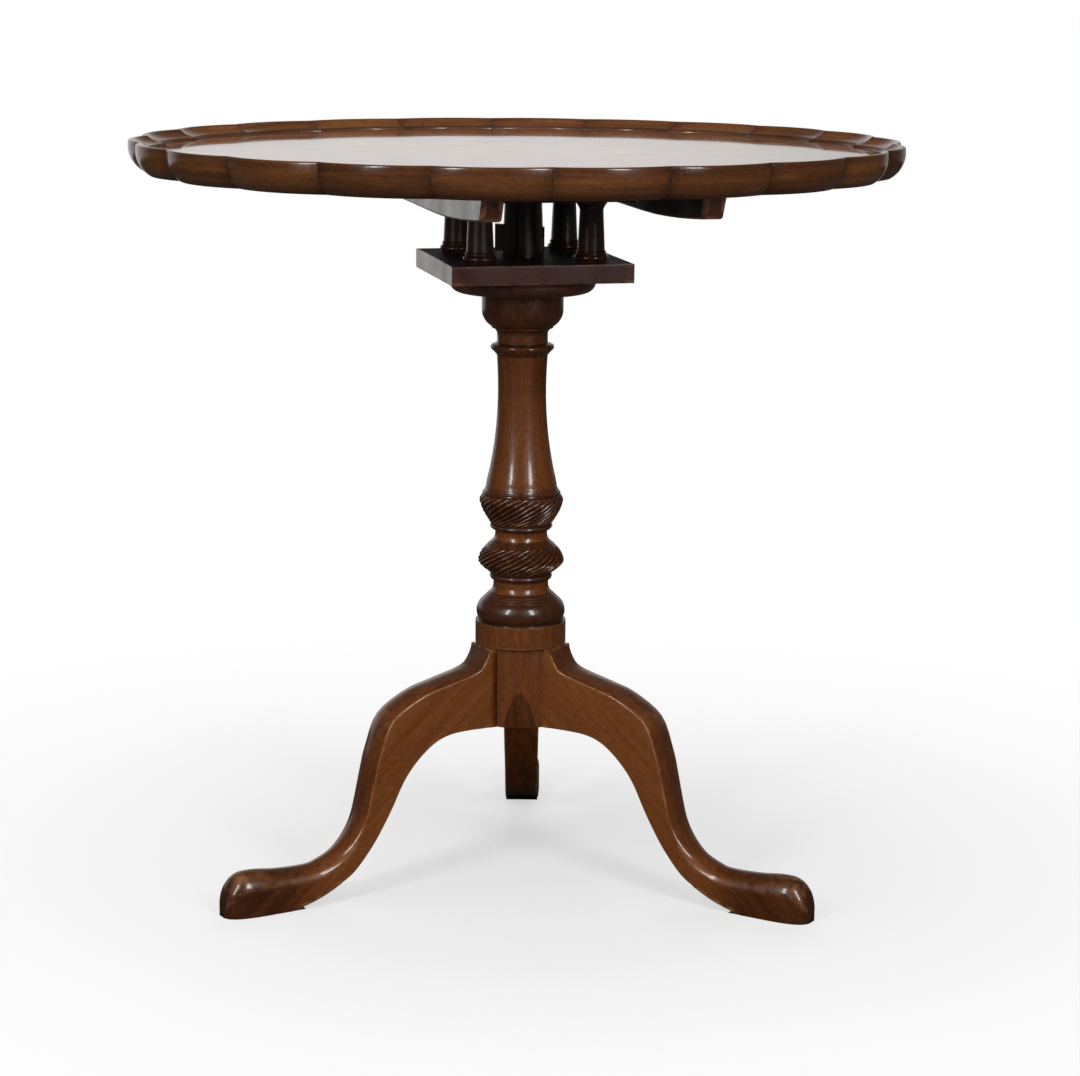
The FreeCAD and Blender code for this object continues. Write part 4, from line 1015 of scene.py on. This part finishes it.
def round_arrises(bm):
    """Round the long arrises of the leg's sides, from the drum down to the ankle."""
    face_out(bm)
    arrises = [edge for edge in bm.edges if len(edge.link_faces) == 2
               and edge.calc_face_angle_signed(0.0) > math.radians(28)
               and (LEG_ROOT + 0.5) * MM < min(vert.co.x for vert in edge.verts)
               and max(vert.co.x for vert in edge.verts) < ARRIS_END * MM]
    round_off(bm, arrises, 1.3, clamp=True)


def make_sole(bm):
    """A flat pad on the floor under the foot, drawn up from the floor by its thickness. The leg's end
    face is drawn up a little inside the drum.
    """
    half = [(SOLE_HEEL, 16.7), (SOLE_BALL, 18.2), (SOLE_BALL + 22, 13.5)]
    outline = [(x, -y) for x, y in half] + [(LEG_REACH - 1, 0.0)] + half[::-1]
    verts = [bm.verts.new((x * MM, y * MM, 0)) for x, y in outline]
    bm.faces.new(verts)
    round_off(bm, verts[1:-1], 9, 5, "VERTICES")
    end = max((face for face in bm.faces if len(face.verts) > 8), key=lambda face: face.calc_area())
    draw_out(bm, [end], (0, 0, END_RISE * MM))


def paint_leg_light(bm):
    """Paint light and shade on a leg: lighter sides and a darker top, a darker foot, and painted shadow at
    the floor.
    """
    tone = float_layer(bm.verts.layers, "tone")
    relief = float_layer(bm.verts.layers, "relief")
    bm.normal_update()
    for vert in bm.verts:
        foot = min(max((vert.co.x / MM - ARRIS_END) / FOOT_LENGTH, 0.0), 1.0)
        side = abs(vert.normal.y)
        shade = SIDE_LIGHT_TONE * side * (1 - foot) + TOP_SHADE_TONE * (1 - side)
        vert[tone] = shade + FOOT_TONE * foot ** 2 * (3 - 2 * foot)
        if vert.co.z < 0.5 * MM:
            vert[tone] = FLOOR_SHADE_TONE
            vert[relief] = FLOOR_SHADE_RELIEF


def make_leg(name, angle, seed):
    bm = bmesh.new()
    loops = [leg_ring(bm, *LEG_SECTIONS[0], pull=LEG_ROOT - SEAT - 0.05)]
    loops += [leg_ring(bm, *row) for row in smooth_rows(LEG_SECTIONS, RINGS_BETWEEN)]
    bridge(bm, loops)
    close(bm)
    toe = max(bm.faces, key=lambda face: face.calc_center_median().x)
    for depth in (0.25, 0.15):
        bmesh.ops.inset_region(bm, faces=[toe], thickness=1.5 * MM, depth=depth * MM)
    round_arrises(bm)
    cut(bm, (0, 0, 0), (0, 0, 1), clear_inner=True)
    close(bm)
    make_sole(bm)
    face_out(bm)
    paint_leg_light(bm)
    bmesh.ops.rotate(bm, verts=bm.verts, matrix=Matrix.Rotation(math.radians(angle), 3, "Z"))
    along = (outwards(angle) * 0.75 - Vector((0, 0, 0.66))).normalized()
    return dress(bm, f"{name}.looks", "base", base_wood, [name], along, seed)


for index, side in enumerate(("rear", "left", "right")):
    leg = make_leg(f"leg_{side}", LEG_ANGLES[index], 10 + index)
    print(leg.name, len(leg.data.polygons), "faces")

# %% [markdown]
# ## Rim
# The rim is 22 short mouldings, one for each scallop, mitred where they meet. Each is the moulding's
# section spun about the scallop's own centre, cut by two planes through the tray's axis, and closed.
# Along the cuts the edge is eased a little, which draws the dark line that shows between two segments.

# %% Make the rim's segments
LOBES = 22
TRAY_CENTRE = (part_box("tray_board")[0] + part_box("tray_board")[1]) / 2
LOBE_PLACE = 248.0
HALF_LOBE = math.pi / LOBES
SWING = math.radians(70)
SWING_STEPS = 36
RIM_SECTION = [
    (97.05, 694.0), (107.0, 694.0, 50), (119.8, 713.0, 8), (119.9, 720.8, 60), (118.4, 722.8),
    (115.6, 722.8, -40), (98.6, 714.8), (98.2, 714.0), (97.05, 714.0), (97.05, 706.55), (103.0, 706.55),
    (103.0, 700.45), (97.05, 700.45), (97.05, 694.0),
]
RIM_TONES = (0.02, -0.03, 0.03, -0.01, 0.04, -0.03, 0.01, -0.04, 0.03, 0.0, -0.02)
# Painted light and shade: how much lighter the rim is at heights up its section
RIM_LIGHT_AND_SHADE = [(694.0, -0.13), (699.0, -0.06), (705.0, 0.08), (711.0, 0.11), (716.0, 0.02), (723.0, -0.05)]
JOINT_TONE = -0.09
JOINT_FADE = 8
JOINT_RELIEF = -0.25
# Inside this radius the cove is lightened with painted light, and inside the next it is darkened
# with painted shade and dirt against the board
COVE_RADIUS = 117.0
COVE_LIGHT_TONE = 0.08
QUIRK_RADIUS = 99.3
QUIRK_HEIGHT = 713.5
QUIRK_SHADE_RELIEF = -0.9


def rim_shade(height):
    """The painted light and shade of the rim at a height, on straight lines between the listed heights."""
    for (low, start), (high, end) in zip(RIM_LIGHT_AND_SHADE, RIM_LIGHT_AND_SHADE[1:]):
        if height <= high:
            return start + (end - start) * (height - low) / (high - low)
    return RIM_LIGHT_AND_SHADE[-1][1]


def shade_segment(bm, tone, seed):
    """Paint light and shade; darken joints; painted shade and dirt by the board; grain along the scallop."""
    shade = float_layer(bm.verts.layers, "tone")
    relief = float_layer(bm.verts.layers, "relief")
    grain = bm.verts.layers.float_vector.new("grain")
    for vert in bm.verts:
        angle = math.atan2(vert.co.y, vert.co.x)
        joint = math.hypot(vert.co.x, vert.co.y) * math.sin(HALF_LOBE - abs(angle)) / MM
        vert[shade] = tone + rim_shade(vert.co.z / MM) + JOINT_TONE * math.exp(-(joint / JOINT_FADE) ** 2)
        x, y = vert.co.x - LOBE_PLACE * MM, vert.co.y
        out = math.hypot(x, y)
        vert[grain] = Vector((out, vert.co.z, math.atan2(y, x) * out)) + GRAIN_SHIFT * seed
        if out < COVE_RADIUS * MM:
            vert[shade] += COVE_LIGHT_TONE
        if joint < 0.5:
            vert[relief] = JOINT_RELIEF
        if out < QUIRK_RADIUS * MM and vert.co.z > QUIRK_HEIGHT * MM:
            vert[relief] = QUIRK_SHADE_RELIEF


def make_segment(index):
    bm = bmesh.new()
    profile_wire(bm, RIM_SECTION, 0.7)
    bmesh.ops.rotate(bm, verts=bm.verts, matrix=Matrix.Rotation(-SWING / 2, 3, "Z"))
    spin(bm, SWING, SWING_STEPS)
    bmesh.ops.translate(bm, verts=bm.verts, vec=(LOBE_PLACE * MM, 0, 0))
    for side in (1, -1):
        normal = Vector((-math.sin(HALF_LOBE), side * math.cos(HALF_LOBE), 0))
        for gap, clear in ((1.5, False), (0.06, True)):
            cut(bm, normal * (-gap * MM), normal, clear_outer=clear)
    close(bm)
    face_out(bm)
    joints = {edge for face in bm.faces if len(face.verts) > 20 for edge in face.edges}
    round_off(bm, list(joints), 0.25, 2)
    shade_segment(bm, RIM_TONES[index % len(RIM_TONES)], 20 + index)
    bmesh.ops.rotate(bm, verts=bm.verts, matrix=Matrix.Rotation(HALF_LOBE * (2 * index + 1), 3, "Z"))
    bmesh.ops.translate(bm, verts=bm.verts, vec=(TRAY_CENTRE.x, TRAY_CENTRE.y, 0))
    name = f"rim_segment_{index + 1:02d}"
    return dress(bm, f"{name}.looks", "top", rim_wood, [name])


for index in range(LOBES):
    segment = make_segment(index)
print("rim:", LOBES, "segments of", len(segment.data.polygons), "faces")

# %% [markdown]
# ## Bearers
# Two battens under the tray carry it on the cage's pintles. Each is one outline, deepest in the middle
# and tapered to its ends, drawn out to the batten's width. Its lower edges are rounded as a
# spokeshave leaves them, and the pintle's socket is let into its inner side by filling that side again
# around a circle.

# %% Make the bearers
BEARER_HALF = 314.0
BEARER_EDGE = [(302.0, 21.5), (268.0, 24.2), (230.0, 26.8), (190.0, 28.9), (150.0, 30.4), (100.0, 31.0)]
PINTLE = (-75.8, 682.0)
SOCKET_RADIUS = 9.08
SOCKET_DEPTH = 14.5
# The bearers' inner sides are darker and duller, and their cut ends are lighter
INNER_RELIEF = -0.5
END_PLACE = 301.0
END_TONE = 0.2


def cut_socket(bm, inner, side):
    """Let the pintle's socket into the bearer's inner side."""
    wall = max((face for face in bm.faces if abs(face.calc_center_median().x - inner) < 0.01 * MM),
               key=lambda face: face.calc_area())
    bmesh.ops.delete(bm, geom=[wall], context="FACES_ONLY")
    outline = [edge for edge in bm.edges if edge.is_boundary]
    ring = ring_across(bm, 48, SOCKET_RADIUS, (inner, PINTLE[0] * MM, PINTLE[1] * MM))
    mouth = list({edge for vert in ring for edge in vert.link_edges})
    bmesh.ops.triangle_fill(bm, edges=outline + mouth, use_beauty=True)
    bore = bmesh.ops.extrude_edge_only(bm, edges=mouth)["geom"]
    bmesh.ops.translate(bm, verts=verts_of(bore), vec=(side * SOCKET_DEPTH * MM, 0, 0))
    close(bm)


def make_bearer(name, seed):
    low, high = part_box(name)
    inner, outer = sorted((low.x, high.x), key=abs)
    half = [(BEARER_HALF, 0.0), *BEARER_EDGE]
    outline = half + [(-place, depth) for place, depth in reversed(half)]
    bm = bmesh.new()
    face = bm.faces.new([bm.verts.new((inner, place * MM, high.z - depth * MM)) for place, depth in outline])
    draw_out(bm, [face], (outer - inner, 0, 0))
    face_out(bm)
    lower = [edge for edge in bm.edges if edge.calc_face_angle(0.0) > math.radians(30)
             and min(vert.co.z for vert in edge.verts) < high.z - 10 * MM]
    round_off(bm, lower, 2.4, 4, clamp=True)
    broad = [face for face in bm.faces if face.calc_area() > 200 * MM * MM]
    bmesh.ops.inset_individual(bm, faces=broad, thickness=3 * MM, use_even_offset=True)
    relief = float_layer(bm.verts.layers, "relief")
    tone = float_layer(bm.verts.layers, "tone")
    for vert in bm.verts:
        if abs(vert.co.x - inner) < 0.1 * MM:
            vert[relief] = INNER_RELIEF
        if abs(vert.co.y) > END_PLACE * MM:
            vert[tone] = END_TONE
    cut_socket(bm, inner, 1 if outer > inner else -1)
    return dress(bm, f"{name}.looks", "top", cage_wood, [name], (0, 1, 0), seed)


for index, name in enumerate(("bearer_left", "bearer_right")):
    bearer = make_bearer(name, 50 + index)
    print(bearer.name, len(bearer.data.polygons), "faces")

# %% [markdown]
# ## Screws and the catch's spring
# The bearers, the strap and the catch are held by hand-cut screws, so every slot ends up at another
# angle. One screw is turned, its slot is cut into its face, and copies are driven at their places. The
# spring is a wire's round section spun about the bolt's line while it moves along it.

# %% Make the screws, a nail and the spring
SLOT_WIDTH = 0.9
SLOT_DEPTH = 0.8
# The slot's half length, as a share of the head's radius
SLOT_SHARE = 0.86
# The first slot's angle, and how much further each next one is turned
SLOT_ANGLE, SLOT_TURN = 0.4, 1.1
SUNK_SCREW = [(0.0, 0.0), (4.4, 0.0), (2.3, 2.4), (2.3, 42.9), (0.0, 42.9)]
ROUND_SCREW = [(0.0, -2.4), (2.4, -2.25), (3.9, -1.3), (4.4, 0.0), (2.3, 0.0), (2.3, 14.1), (0.0, 14.1)]
SMALL_SCREW = [(0.0, -1.4), (1.5, -1.25), (2.5, -0.7), (2.8, 0.0), (1.5, 0.0), (1.5, 8.9), (0.0, 8.9)]
NAIL = [(0.0, -0.2), (1.9, -0.1), (2.3, 0.3), (0.0, 0.3)]
NAIL_PLACE = (-96.6, -310.3, 687.4)
NAIL_FACING = (0, -0.873, -0.487)
WIRE_RADIUS = 0.36
COIL_TURNS = 9
STEPS_EACH = 24
DOWN = (0, 0, -1)
STRAP_HEIGHT = 152.2


def cut_slot(bm, reach):
    """Let a slot into the screw's lower face."""
    for axis, half in ((Vector((1, 0, 0)), SLOT_WIDTH / 2), (Vector((0, 1, 0)), reach)):
        for side in (1, -1):
            cut(bm, axis * (side * half * MM), axis)
    face_out(bm)
    strip = []
    for face in bm.faces:
        middle = face.calc_center_median() / MM
        if face.normal.z < -0.5 and abs(middle.x) < SLOT_WIDTH / 2 and abs(middle.y) < reach:
            strip.append(face)
    draw_out(bm, strip, (0, 0, SLOT_DEPTH * MM))


def drive(bm, places, facing):
    """Copies of a screw at places in millimetres, each turned to another angle."""
    pattern = bm.verts[:]
    first = pattern + bm.edges[:] + bm.faces[:]
    turn = Vector(DOWN).rotation_difference(Vector(facing)).to_matrix()
    for index, place in enumerate(places):
        verts = verts_of(bmesh.ops.duplicate(bm, geom=first)["geom"])
        slot_turn = Matrix.Rotation(SLOT_TURN * index + SLOT_ANGLE, 3, "Z")
        bmesh.ops.rotate(bm, verts=verts, matrix=turn @ slot_turn)
        bmesh.ops.translate(bm, verts=verts, vec=Vector(place) * MM)
    bmesh.ops.delete(bm, geom=pattern, context="VERTS")


def make_screws(name, profile, places, facing, body, finish):
    bm = turned(profile, 32, 0.2)
    cut_slot(bm, max(row[0] for row in profile) * SLOT_SHARE)
    drive(bm, places, facing)
    return dress(bm, f"{name}.looks", body, finish, [name])


def make_nail():
    """The old nail in the left bearer's front end."""
    bm = turned(NAIL, 20, 0.1)
    drive(bm, [NAIL_PLACE], NAIL_FACING)
    return dress(bm, "bearer_left.nail", "top", iron, [])


def make_spring():
    low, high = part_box("catch_spring")
    middle = (low + high) / 2
    wire = WIRE_RADIUS * MM
    steps = COIL_TURNS * STEPS_EACH
    bm = bmesh.new()
    ring_across(bm, 10, WIRE_RADIUS, (middle.x, low.y + wire, high.z - wire))
    step = (high.y - low.y - 2 * wire) / steps
    bmesh.ops.spin(bm, geom=bm.verts[:] + bm.edges[:], cent=middle, axis=(0, 1, 0), dvec=(0, step, 0),
                   angle=2 * math.pi * COIL_TURNS, steps=steps)
    close(bm)
    spring = dress(bm, "catch_spring.looks", "top", steel, ["catch_spring"])
    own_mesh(spring)
    return spring


bearer_places = [(x, y, 663.0) for x in (-98.2, 98.2) for y in (-150.7, -31.4, 62.8, 150.7)]
strap_places = [(0.0, 0.0, STRAP_HEIGHT)]
for angle in LEG_ANGLES:
    out = outwards(angle)
    strap_places += [(reach * out.x, reach * out.y, STRAP_HEIGHT) for reach in (29.83, 60.5)]
catch_places = [(-17.0, 115.5, 692.0), (17.0, 115.5, 692.0)]
keeper_places = [(-15.5, 87.5, 684.0), (15.5, 87.5, 684.0)]
made = [
    make_screws("bearer_screws", SUNK_SCREW, bearer_places, DOWN, "top", iron),
    make_screws("strap_screws", ROUND_SCREW, strap_places, DOWN, "base", iron),
    make_screws("catch_screws", SMALL_SCREW, catch_places, DOWN, "top", brass),
    make_screws("keeper_screws", SMALL_SCREW, keeper_places, (0, 1, 0), "cage", brass),
    make_nail(), make_spring(),
]
for piece in made:
    print(piece.name, [round(edge / MM, 1) for edge in piece.dimensions], "mm")

# %% [markdown]
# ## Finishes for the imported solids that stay
# The board, the cage's block, its wedge, the strap and the catch already have their right shapes, so they
# only get their finishes.

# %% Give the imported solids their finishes


def refinish(names, material):
    """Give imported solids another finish."""
    for name in names:
        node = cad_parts[name]
        node.data.materials.clear()
        node.data.materials.append(material)


refinish(["tray_board"], board_wood)
refinish(["cage_block", "cage_wedge"], block_wood)
refinish(["catch_case", "catch_bolt", "catch_knob", "catch_keeper"], brass)
refinish(["tripod_strap"], iron)
print("finished:", "board, block, wedge, strap and catch")
